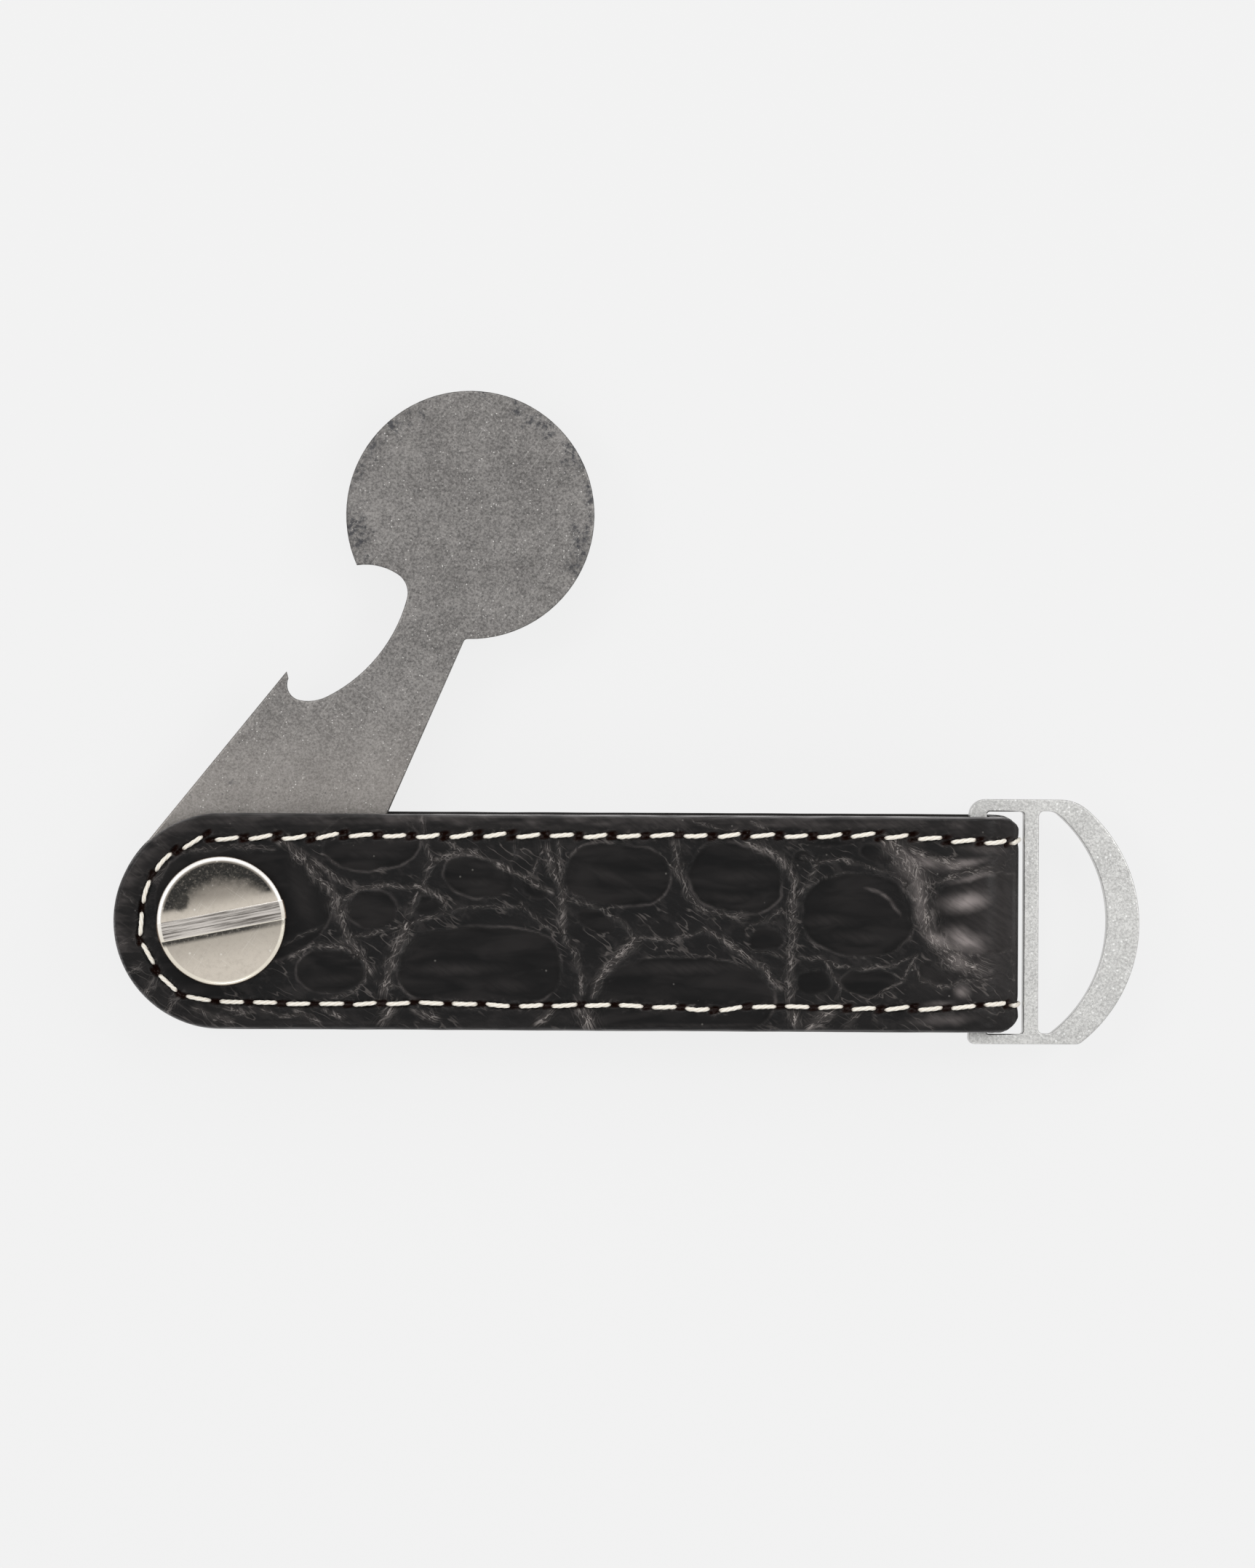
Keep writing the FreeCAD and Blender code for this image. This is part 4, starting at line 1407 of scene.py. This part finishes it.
@dataclass
class Strap:
    """The folded strap: hide, bonded sheet, lining and the seam that holds them."""

    half_width: float = 10.1
    fold_x: float = 70.8
    middle_z: float = 5.15
    fold_radius: float = 3.75
    hide: float = 1.0
    sheet: float = 0.4
    lining: float = 1.0
    edge_round: float = 0.5
    hole_radius: float = 2.75
    rear_overhang: float = 0.22
    rear_shift: float = 9.0
    corner_length: float = 1.7
    corner_top: float = 1.0
    corner_bottom: float = 1.2
    channel_depth: float = 0.09
    channel_width: float = 0.42
    dent_depth: float = 0.38
    dent_length: float = 0.52
    dent_width: float = 0.18
    stitch_pitch: float = 3.13
    lower_pitch: float = 3.11
    stitch_length: float = 2.12
    stitch_dive: float = 0.46
    stitch_reach: float = 2.6
    bare_inside_fold: float = 6.6
    thread_width: float = 0.41
    thread_height: float = 0.34
    ring_count: int = 26
    ring_sides: int = 15
    top_row: tuple[tuple[float, float], ...] = (
        (0.0, 7.75), (6.7, 7.92), (12.5, 8.0), (20.0, 8.12), (30.0, 8.17), (40.0, 8.18), (50.0, 8.27),
        (54.0, 8.2), (57.0, 8.32), (63.0, 8.22), (66.6, 7.98), (70.0, 7.8), (76.0, 7.75), (90.0, 7.8),
        (154.0, 7.8))
    bottom_row: tuple[tuple[float, float], ...] = (
        (-2.2, -7.2), (1.2, -7.5), (4.5, -7.67), (9.0, -7.72), (17.0, -7.6), (26.0, -7.7), (31.0, -7.8),
        (36.5, -7.64), (42.0, -7.9), (46.0, -8.0), (50.6, -7.84), (55.0, -7.68), (60.0, -7.9),
        (66.5, -7.9), (69.6, -7.67), (73.0, -7.45), (80.0, -7.6), (90.0, -7.75), (154.0, -7.8))
    end_stitches: tuple[Stitch, ...] = (
        Stitch(-2.73, 7.3, 33, 2.05), Stitch(-5.43, 5.46, 49, 2.1), Stitch(-7.01, 2.69, 74, 2.1),
        Stitch(-7.53, -0.31, 86, 2.1), Stitch(-6.82, -3.1, -60, 2.1), Stitch(-4.97, -5.84, -42, 2.1))

    @property
    def unrolled_end(self) -> float:
        """Length along the hide's face from the pivot, round the fold, to the pivot again."""
        return 2 * self.fold_x + math.pi * self.fold_radius

    # -- the strip as a surface

    def outline_share(self, bend: Array, across: Array) -> Array:
        """How much of its half width the strip has, less at the fold's two corners.

        Args:
            bend: Turn round the fold, from 0 on the front leaf to pi on the rear one.
            across: Place across the strip.

        Returns:
            Share from 0 to 1.
        """
        short = self.fold_radius * (1.0 - np.sin(np.clip(bend, 0.0, math.pi)))
        drop = np.where(across > 0, self.corner_top, self.corner_bottom)
        reach = np.clip(1.0 - short / self.corner_length, 0.0, 1.0)
        cut = drop * (1.0 - np.sqrt(1.0 - 0.999 * reach**2))
        return 1.0 - cut * smooth_step(0.80, 1.0, np.abs(across) / self.half_width) / self.half_width

    def point(self, x: Array, bend: Array, across: Array, below: Array) -> Array:
        """Place in space of a point of the strip.

        Args:
            x: Place along the leaf that it is on, or the fold's own.
            bend: Turn round the fold.
            across: Place across the strip.
            below: Depth under the hide's outer face.

        Returns:
            N by 3.
        """
        radius = self.fold_radius - below
        shifted = across * self.outline_share(bend, across)
        shifted = shifted + self.rear_overhang * smooth_step(0.3, math.pi, bend)
        height = self.middle_z + radius * np.cos(bend)
        return np.stack([x + radius * np.sin(bend), shifted, height], axis=-1)

    def rolled(self, along: Array) -> tuple[Array, Array]:
        """Leaf place and bend for a length along the hide's outer face.

        Args:
            along: Length from the pivot along the front leaf, round the fold and back.

        Returns:
            Place along the leaf and bend.
        """
        bend = np.clip((along - self.fold_x) / self.fold_radius, 0.0, math.pi)
        beyond = np.where(bend < math.pi, self.fold_x, self.unrolled_end - along)
        return np.where(along <= self.fold_x, along, beyond), bend

    def unrolled(self, points: Array) -> tuple[Array, Array, Array]:
        """Where points of the hide lie on the strip.

        Args:
            points: Places in space, N by 3.

        Returns:
            Length along the hide's outer face, bend, and depth under that face.
        """
        x, past, over = points[:, 0], points[:, 0] - self.fold_x, points[:, 2] - self.middle_z
        bend = np.where(past < 0, np.where(over > 0, 0.0, math.pi), np.arctan2(past, over))
        radius = np.where(past < 0, np.abs(over), np.hypot(past, over))
        round_fold = self.fold_x + self.fold_radius * bend
        back = np.where(bend >= math.pi, self.unrolled_end - x, round_fold)
        return np.where(bend <= 0, x, back), bend, self.fold_radius - radius

    def layer(self, name: str, top: float, thickness: float, inset: float, edge: float,
              step: float) -> bpy.types.Object:
        """One layer of the strap as a closed mesh.

        Args:
            name: The object's name.
            top: Depth of its outer face under the hide's face.
            thickness: Its thickness.
            inset: How far its edge stands back.
            edge: Radius of its outer edge.
            step: Size of its grid.

        Returns:
            The object, with the screw's holes cut.
        """
        reach = self.half_width - inset
        # columns: the round end, the leaf, the fold, and the same again backwards
        cap = np.radians(np.linspace(1.2, 90.0, max(int(reach * 1.57 / step), 24)))[:-1]
        leaf = np.linspace(0.0, self.fold_x, int(self.fold_x / step))
        bends = np.linspace(0.0, math.pi, max(int(math.pi * self.fold_radius / step), 40))[1:-1]
        leaf_x = np.concatenate([-reach * np.cos(cap), leaf])
        x = np.concatenate([leaf_x, np.full(bends.size, self.fold_x), leaf_x[::-1]])
        bend = np.concatenate([np.zeros(leaf_x.size), bends, np.full(leaf_x.size, math.pi)])
        # rows: close together at the edges of the outer face, few on the inner face
        near_edge = np.array([0.0, 0.02, 0.06, 0.12, 0.2, 0.3, 0.42, 0.56, 0.72])
        middle = np.linspace(near_edge[-1], reach, max(int(reach / step), 8))[1:-1]
        half = 1.0 - np.concatenate([near_edge, middle]) / reach
        rows = np.concatenate([half, [0.0], -half[::-1]])
        back = np.linspace(-1.0, 1.0, 14)
        width = np.sqrt(np.maximum(reach**2 - np.minimum(x, 0.0) ** 2, 0.0))[:, None]
        wave = 0.05 * layered_noise(x * 0.12 + bend * 9.0, np.full(x.shape, 0.5), 71)
        wavy = 1 + wave[:, None] / reach
        gap = reach - np.hypot(np.minimum(x, 0.0)[:, None], rows[None, :] * width)
        gap = np.clip(gap, 0.0, edge)
        below = top + edge - np.sqrt(np.maximum(edge**2 - (edge - gap) ** 2, 0.0))
        across = np.concatenate([rows[None, :] * width * wavy, back[None, :] * width * wavy], axis=1)
        below = np.concatenate([below, np.full((x.size, back.size), top + thickness)], axis=1)
        count = across.shape[1]
        points = self.point(np.repeat(x[:, None], count, 1), np.repeat(bend[:, None], count, 1),
                            across, below)
        draft, drill = MeshDraft(), MeshDraft()
        draft.add(points.reshape(-1, 3), [face[::-1] for face in tube_faces(x.size, count)])
        made = draft.object(name)
        lathe(drill, [(0, -2.0), (self.hole_radius, -2.0), (self.hole_radius, 13.0), (0, 13.0)], 96)
        cut_with(made, drill.object("drill"))
        return made

    def emboss(self, made: bpy.types.Object, layout: ScalePrint) -> None:
        """Press the scale print, the seam's channel and its needle holes into the hide.

        Args:
            made: The hide.
            layout: The scale print.
        """
        mesh, points = made.data, coordinates(made.data)
        across = points[:, 1]
        along, bend, below = self.unrolled(points)
        half_turn = self.fold_x + self.fold_radius * math.pi / 2
        is_rear = along > half_turn
        facing = np.where(is_rear, -across, across)
        maps = layout.read(np.where(is_rear, 2 * half_turn - along - self.rear_shift, along), facing)
        channel, prick = self.seam_maps(along, across)
        calm = 1.0 - smooth_step(2.6, 0.8, np.abs(along - half_turn))
        to_edge = self.half_width - np.hypot(np.minimum(self.rolled(along)[0], 0.0), across)
        margin = smooth_step(1.9, 2.3, to_edge)
        fuzz = layered_noise(along * 2.6, across * 2.6, 83)
        border = layered_noise(along * 0.55, across * 0.6, 97)
        lumpy = smooth_step(-7.6, -8.6, facing)
        # relief, on the outer face only and flat under the screw's head
        under_head = smooth_step(5.6, 6.9, np.hypot(np.minimum(points[:, 0], 60.0), across))
        height = maps["height"] * calm * (0.35 + 0.65 * margin) * under_head
        height = height - self.channel_depth * channel - self.dent_depth * prick
        height = height + 0.025 * fuzz * channel + 0.11 * border * lumpy
        face = 1.0 - smooth_step(0.12, 0.5, below)
        outward = np.stack([np.sin(bend), np.zeros(bend.shape), np.cos(bend)], axis=1)
        write_back(mesh, points + outward * (height * face)[:, None])
        # what the finish reads
        pressed = np.maximum((1.0 - margin) * np.where(across > -3.0, 0.8, 0.3), 0.85 * (1.0 - calm))
        frayed = 0.5 * channel * smooth_step(-0.1, 0.5, fuzz) * smooth_step(0.0, 0.25, to_edge)
        crease = maps["crease"] * (1.0 + 0.55 * lumpy) * calm
        # the edge's colour is partly a burnished edge and partly painted highlight, rising along the top
        # side from 8 to 26 mm
        upper = np.where(across > 0, smooth_step(8.0, 26.0, along), 0.35)
        rim = smooth_step(0.36, 0.0, to_edge) ** 2 * (1.0 - 0.8 * smooth_step(0.45, 0.75, below))
        # painted sheen along the borders, stronger on the upper border and near the edge
        rubbed = (1.0 - margin) * np.where(across > -3.0, 0.062, 0.012) * (1.0 + 0.9 * border)
        streaks = layered_noise(along * 0.45, across * 2.6, 171)
        rubbed = rubbed * (0.45 + 0.95 * smooth_step(1.7, 0.5, to_edge)) * (1.0 + 1.3 * streaks)
        comb = maps["comb"]
        # painted shade in the seam's channel below the stitches
        comb[:, 2] = np.maximum(comb[:, 2], 0.8 * channel * smooth_step(0.3, -0.2, fuzz))
        store(mesh, "plate", np.clip(np.maximum(maps["plate"] * calm, pressed), 0, 1))
        store(mesh, "crease", np.clip(np.maximum(crease, 0.75 * frayed), 0, 1.1))
        store(mesh, "edge", rim * np.where(is_rear, 0.35, 0.30 + 0.70 * upper))
        store(mesh, "prick", np.clip(prick * 1.45, 0, 1))
        store(mesh, "painted_highlight", np.maximum(maps["painted_highlight"], rubbed) * np.where(is_rear, 0.4, 1.0))
        store(mesh, "comb", comb)
        shade(mesh, 50.0)

    def seam_maps(self, along: Array, across: Array) -> tuple[Array, Array]:
        """Channel along the seam and dents of the needle holes.

        Args:
            along: Place along the hide's face.
            across: Place across it.

        Returns:
            Channel and dents, each from 0 to 1.
        """
        channel, dents = np.zeros(along.shape), np.zeros(along.shape)
        for stitch in self.stitches():
            x, y = along - stitch.along, across - stitch.across
            near = (np.abs(x) < self.stitch_reach) & (np.abs(y) < self.stitch_reach)
            u, v = turned_by(x[near], y[near], stitch.heading)
            end = np.abs(u) - self.stitch_pitch / 2
            lift(channel, near, bell(np.hypot(np.maximum(end, 0.0), v), self.channel_width))
            slant = v - 0.05 * np.sign(u) * end
            lift(dents, near, np.exp(-((end / self.dent_length) ** 4) - (slant / self.dent_width) ** 2))
        return channel, dents

    # -- the seam

    def stitches(self) -> list[Stitch]:
        """Place every stitch of the outer thread on the unrolled strip.

        Returns:
            The upper row, the lower row, then the round ends of both leaves.
        """
        rng = np.random.default_rng(5)
        found = []
        for row, first, pitch, lean in ((self.top_row, 0.48, self.stitch_pitch, 8.5),
                                        (self.bottom_row, -2.1, self.lower_pitch, 3.0)):
            xs, ys = zip(*row)
            for along in np.arange(first, self.unrolled_end - 1.2, pitch):
                climb = np.interp(along + 1, xs, ys) - np.interp(along - 1, xs, ys)
                heading = math.degrees(math.atan2(climb, 2)) + lean + rng.normal(0, 3.0)
                if along == first and first < 0:
                    heading = -10.0
                across = float(np.interp(along, xs, ys) + rng.normal(0, 0.03))
                length = self.stitch_length + rng.normal(0, 0.06)
                found.append(Stitch(float(along), across, heading, length))
        back = [Stitch(self.unrolled_end - stitch.along, stitch.across, -stitch.heading, stitch.length)
                for stitch in self.end_stitches]
        return found + list(self.end_stitches) + back

    def thread(self, side: Side) -> bpy.types.Object:
        """One thread of the lock stitch as twisted plies that dive into their holes.

        Args:
            side: The needle thread outside or the bobbin thread inside.

        Returns:
            The object.
        """
        outside = side is Side.OUTSIDE
        rng = np.random.default_rng(17 if outside else 29)
        depth = 0.0 if outside else self.hide + self.sheet + self.lining
        up, tall = (-1.0, 0.10) if outside else (1.0, 0.02)
        half_turn = self.fold_x + math.pi * self.fold_radius / 2
        draft, lays, sunks = MeshDraft(), [], []
        t = np.linspace(-1.0, 1.0, self.ring_count)
        ring = np.arange(self.ring_sides) / self.ring_sides * 2 * math.pi
        for stitch in self.stitches():
            if not outside and abs(stitch.along - half_turn) < self.bare_inside_fold:
                continue
            phase, twist = rng.uniform(0, math.pi), rng.uniform(3.0, 4.0)
            rise = tall + 0.02 * rng.normal() - self.stitch_dive * np.abs(t) ** 11
            run = t * (stitch.length / 2 + 0.04)
            # back from the stitch's own axes to the strip's
            along, across = turned_by(run, 0.05 * rng.normal() * (1 - t**2), -stitch.heading)
            leaf_x, bend = self.rolled(stitch.along + along)
            path = self.point(leaf_x, bend, stitch.across + across, depth + up * rise)
            ahead = unit(np.gradient(path, axis=0))
            out = np.stack([np.sin(bend), np.zeros(bend.size), np.cos(bend)], axis=1)
            beside = unit(np.cross(ahead, out))
            out = np.cross(beside, ahead)
            spin = ring[None, :] - phase - twist * t[:, None]
            groove = np.abs(np.cos(1.5 * spin)) ** 0.7
            fray = 1 + 0.09 * value_noise(t[:, None] * 4 + stitch.along, ring[None, :] * 1.5, 3)
            girth = (0.80 + 0.24 * groove) * (1 - 0.42 * np.abs(t[:, None]) ** 9)
            wide, high = self.thread_width / 2 * girth * fray, self.thread_height / 2 * girth * fray
            points = (path[:, None, :] + beside[:, None, :] * (wide * np.cos(ring))[..., None]
                      + out[:, None, :] * (high * np.sin(ring))[..., None])
            draft.add(points.reshape(-1, 3), tube_faces(t.size, ring.size))
            travel = np.repeat(run, ring.size) + stitch.along * 3.1
            lays.append(np.stack([travel, spin.ravel(), groove.ravel()], axis=1))
            sunks.append(np.repeat(smooth_step(0.86, 0.99, np.abs(t)), ring.size))
        made = draft.object(side.value + "_plies", 70.0)
        store(made.data, "lay", np.concatenate(lays))
        store(made.data, "sunk", np.concatenate(sunks))
        return made


# ------------------------------------------------------------------ screw


@dataclass
class PivotScrew:
    """The coin-slotted screw with its milled slot and its thread."""

    head_radius: float = 6.08
    head_low: float = 9.2
    head_high: float = 10.6
    rim_round: float = 0.42
    rim_step: float = 0.12
    slot_width: float = 1.74
    slot_depth: float = 0.75
    slot_turn: float = 11.0
    slot_reach: float = 7.5
    slot_ridges: int = 34
    thread_radius: float = 2.0
    thread_pitch: float = 0.7
    thread_depth: float = 0.32
    shank_low: float = 3.2

    def head(self) -> bpy.types.Object:
        """Turn the head, with a small step at the rim, and mill a ridged slot across it.

        Returns:
            The object.
        """
        r, low, high = self.head_radius, self.head_low, self.head_high
        profile = [(0.0, low), (r - 0.2, low), (r - 0.06, low + 0.05), (r, low + 0.18),
                   (r, high - self.rim_round)]
        for turn in np.radians(np.arange(10, 100, 10)):
            profile.append((r - self.rim_round * (1 - math.cos(turn)),
                            high - self.rim_round * (1 - math.sin(turn))))
        profile += [(r - self.rim_round - self.rim_step, high - 0.004), (2.0, high), (0.0, high)]
        draft = MeshDraft()
        lathe(draft, profile, 192)
        made = draft.object("pivot_screw_milled", 35.0)
        cut_with(made, self.slot_cutter())
        shade(made.data, 35.0)
        return made

    def slot_cutter(self) -> bpy.types.Object:
        """Make a bar whose underside has the ridges that a milling cutter leaves.

        Returns:
            The bar's object.
        """
        rng = np.random.default_rng(3)
        half, floor_z, roof = self.slot_width / 2, self.head_high - self.slot_depth, self.head_high + 1.0
        across = np.linspace(-half, half, self.slot_ridges + 1)
        floor = floor_z + np.abs(rng.normal(0, 0.005, across.size))
        floor[[0, -1]] = floor_z + 0.02
        ring = np.concatenate([np.stack([across, floor], 1), [[half, roof], [-half, roof]]])
        points = []
        for x in (-self.slot_reach, self.slot_reach):
            for y, z in ring:
                points.append([*turned_by(x, y, -self.slot_turn), z])
        draft = MeshDraft()
        draft.add(np.array(points), tube_faces(2, len(ring)))
        return draft.object("slot_cutter")

    def shank(self, head: bpy.types.Object) -> bpy.types.Object:
        """Add the threaded shank to the head.

        Args:
            head: The head's object, which takes the shank in.

        Returns:
            The same object.
        """
        sides, rings = 48, 100
        turn = np.arange(sides) / sides * 2 * math.pi
        z = np.linspace(self.shank_low, self.head_low + 0.1, rings)
        phase = (z[:, None] / self.thread_pitch - turn[None, :] / (2 * math.pi)) % 1.0
        ridge = 1.0 - np.abs(phase * 2 - 1)
        crest = np.clip(ridge * 1.35 - 0.15, 0.0, 1.0)
        radius = self.thread_radius - self.thread_depth * (1 - crest)
        tip = smooth_step(self.shank_low, self.shank_low + 0.35, z)
        radius = np.minimum(radius, (self.thread_radius - 0.45 + 0.45 * tip)[:, None])
        neck = smooth_step(self.head_low - 0.7, self.head_low - 0.4, z)[:, None]
        radius = radius * (1 - neck) + (self.thread_radius - 0.25) * neck
        points = np.stack([radius * np.cos(turn), radius * np.sin(turn),
                           np.repeat(z[:, None], sides, 1)], axis=-1)
        draft = MeshDraft()
        draft.add(points.reshape(-1, 3), tube_faces(rings, sides))
        stem = draft.object("stem", 35.0)
        bpy.ops.object.select_all(action="DESELECT")
        for part in (stem, head):
            part.select_set(True)
        bpy.context.view_layer.objects.active = head
        bpy.ops.object.join()
        return head


# ------------------------------------------------------------------ studio


@dataclass
class Studio:
    """Camera, soft lamps and a plain pale floor."""

    aim: tuple[float, float] = (37.9, 13.0)
    camera_height: float = 2400.0
    view_height: float = 146.86
    subject_height: float = 5.15
    sensor: float = 36.0
    roll: float = 0.3
    backdrop: float = 0.888
    world_light: float = 0.62
    floor_glow: float = 0.92
    floor_reach: float = 4000.0
    lamp_aim: Point = (36.0, 13.0, 5.0)
    # place, size and watts of each soft box
    boxes: tuple[tuple[Point, float, float], ...] = (
        ((-300, 160, 420), 190, 0.48), ((360, 120, 400), 190, 0.48),
        ((30, 420, 380), 220, 0.42), ((60, -380, 420), 200, 0.25))

    def camera(self) -> None:
        """Stand the camera straight above, as the organiser lies flat."""
        data = bpy.data.cameras.new("camera")
        data.sensor_width = self.sensor
        data.lens = self.sensor * (self.camera_height - self.subject_height) / self.view_height
        data.clip_start, data.clip_end = 0.01, 10.0
        made = in_scene("camera", data)
        made.location = (self.aim[0] * MM, self.aim[1] * MM, self.camera_height * MM)
        made.rotation_euler = (0.0, 0.0, math.radians(self.roll))
        bpy.context.scene.camera = made

    def pale_to_camera(self, net: Wiring) -> Any:
        """Tell rays that are seen from rays that only light.

        Args:
            net: The wiring of a material or world.

        Returns:
            1 for rays that the camera, a reflection or clear material sends out, else 0.
        """
        path = net.node("LightPath").outputs
        seen = net.larger(path["Is Camera Ray"], path["Is Glossy Ray"])
        return net.larger(seen, path["Is Transmission Ray"])

    def world(self) -> None:
        """Even light all round, seen as the pale backdrop."""
        made = bpy.data.worlds.new("studio")
        net = Wiring.fresh(made)
        colour = net.blend(self.pale_to_camera(net), (self.world_light,) * 3, (self.backdrop,) * 3)
        back = net.node("Background", {"Color": colour, "Strength": 1.0})
        net.node("OutputWorld", {0: back.outputs[0]})
        bpy.context.scene.world = made

    def floor(self) -> None:
        """A wide floor that keeps a faint shadow."""
        mesh = bpy.data.meshes.new("floor")
        reach = self.floor_reach * MM
        corners = [(-reach, -reach, 0), (reach, -reach, 0), (reach, reach, 0), (-reach, reach, 0)]
        mesh.from_pydata(corners, [], [[0, 1, 2, 3]])
        made = in_scene("floor", mesh)
        paper = bpy.data.materials.new("floor_paper")
        net = Wiring.fresh(paper)
        pale = (self.backdrop,) * 3 + (1.0,)
        card = net.node("BsdfDiffuse", {"Color": pale})
        glow = net.node("Emission", {"Color": pale, "Strength": 1.0})
        share = net.times(self.pale_to_camera(net), self.floor_glow)
        mixed = net.node("MixShader", {0: share, 1: card.outputs[0], 2: glow.outputs[0]})
        net.node("OutputMaterial", {0: mixed.outputs[0]})
        mesh.materials.append(paper)

    def lamps(self) -> None:
        """Soft boxes above and to all four sides, aimed at the strap."""
        for number, (place, size, power) in enumerate(self.boxes):
            data = bpy.data.lights.new(f"soft_box_{number}", "AREA")
            data.shape, data.size, data.energy = "SQUARE", size * MM, power
            made = in_scene(data.name, data)
            made.location = [v * MM for v in place]
            made.rotation_mode = "QUATERNION"
            aim = Vector([v * MM for v in self.lamp_aim]) - made.location
            made.rotation_quaternion = aim.to_track_quat("-Z", "Y")

    def build(self) -> None:
        """Set up the camera, the world, the floor and the lamps."""
        self.camera()
        self.world()
        self.floor()
        self.lamps()
        bpy.context.scene.view_settings.view_transform = "Standard"


# ------------------------------------------------------------------ putting it together


@dataclass
class Organiser:
    """The whole organiser: makes each piece, dresses it and joins it to its body."""

    effects: Effects
    strap: Strap = field(default_factory=Strap)
    screw: PivotScrew = field(default_factory=PivotScrew)
    layout: ScalePrint = field(default_factory=ScalePrint)
    materials: dict[str, bpy.types.Material] = field(default_factory=dict)

    def dress(self, made: bpy.types.Object, finish: Finish) -> None:
        """Give a piece one finish all over.

        Args:
            made: The piece.
            finish: Its finish.
        """
        if finish.name not in self.materials:
            self.materials[finish.name] = finish.material(self.effects)
        made.data.materials.clear()
        made.data.materials.append(self.materials[finish.name])

    def join(self, made: bpy.types.Object, body: Body, node: str, slot: str, finish: Finish) -> None:
        """Dress a piece, ride it on its body and let it stand for a node.

        Args:
            made: The piece.
            body: The body that it moves with.
            node: The node that it stands for.
            slot: Not used.
            finish: Its finish.
        """
        self.dress(made, finish)
        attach(made, body.value)
        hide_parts(node)
        LOG.info("%s: %d vertices, stands for %s on %s", made.name, len(made.data.vertices), node,
                 body.value)

    def keep(self, node: str, finish: Finish) -> None:
        """Dress a node whose own shape stays.

        Args:
            node: The node.
            finish: Its finish.
        """
        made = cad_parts[node]
        self.dress(made, finish)
        LOG.info("%s: kept with finish %s", node, finish.name)

    def build(self) -> None:
        """Make every piece."""
        strap = self.strap
        hide = strap.layer("hide_folded", 0.0, strap.hide, 0.0, strap.edge_round, 0.14)
        strap.emboss(hide, self.layout)
        self.join(hide, Body.STRAP, "outer_leather", "embossed_leather", EmbossedHide())
        sheet = strap.layer("bonded_sheet_folded", strap.hide, strap.sheet, 0.06, 0.06, 0.8)
        self.join(sheet, Body.STRAP, "stiffener", "stiffener_sheet", BondedSheet())
        lining = strap.layer("lining_folded", strap.hide + strap.sheet, strap.lining, 0.03, 0.12, 0.6)
        self.join(lining, Body.STRAP, "lining_leather", "lining", SmoothHide())
        for side in Side:
            self.join(strap.thread(side), Body.STRAP, side.value, "thread", WaxedThread())
        screw = self.screw.shank(self.screw.head())
        self.join(screw, Body.SCREW, "pivot_screw", "polished_nickel", PolishedNickel())
        for node, slot, finish in (("screw_post", "polished_nickel", PolishedNickel()),
                                   ("head_washer", "fibre", PressedFibre()),
                                   ("rear_washer", "slip_plastic", SlipPlastic()),
                                   ("front_washer", "slip_plastic", SlipPlastic()),
                                   ("token_opener", "tumbled_steel", TumbledSteel()),
                                   ("d_loop", "satin_steel", SatinSteel())):
            self.keep(node, finish)


def main() -> None:
    """Build the studio and the organiser."""
    logging.basicConfig(level=logging.INFO, format="%(name)s: %(message)s")
    Studio().build()
    Organiser(Effects()).build()


if __name__ == "__main__":
    main()
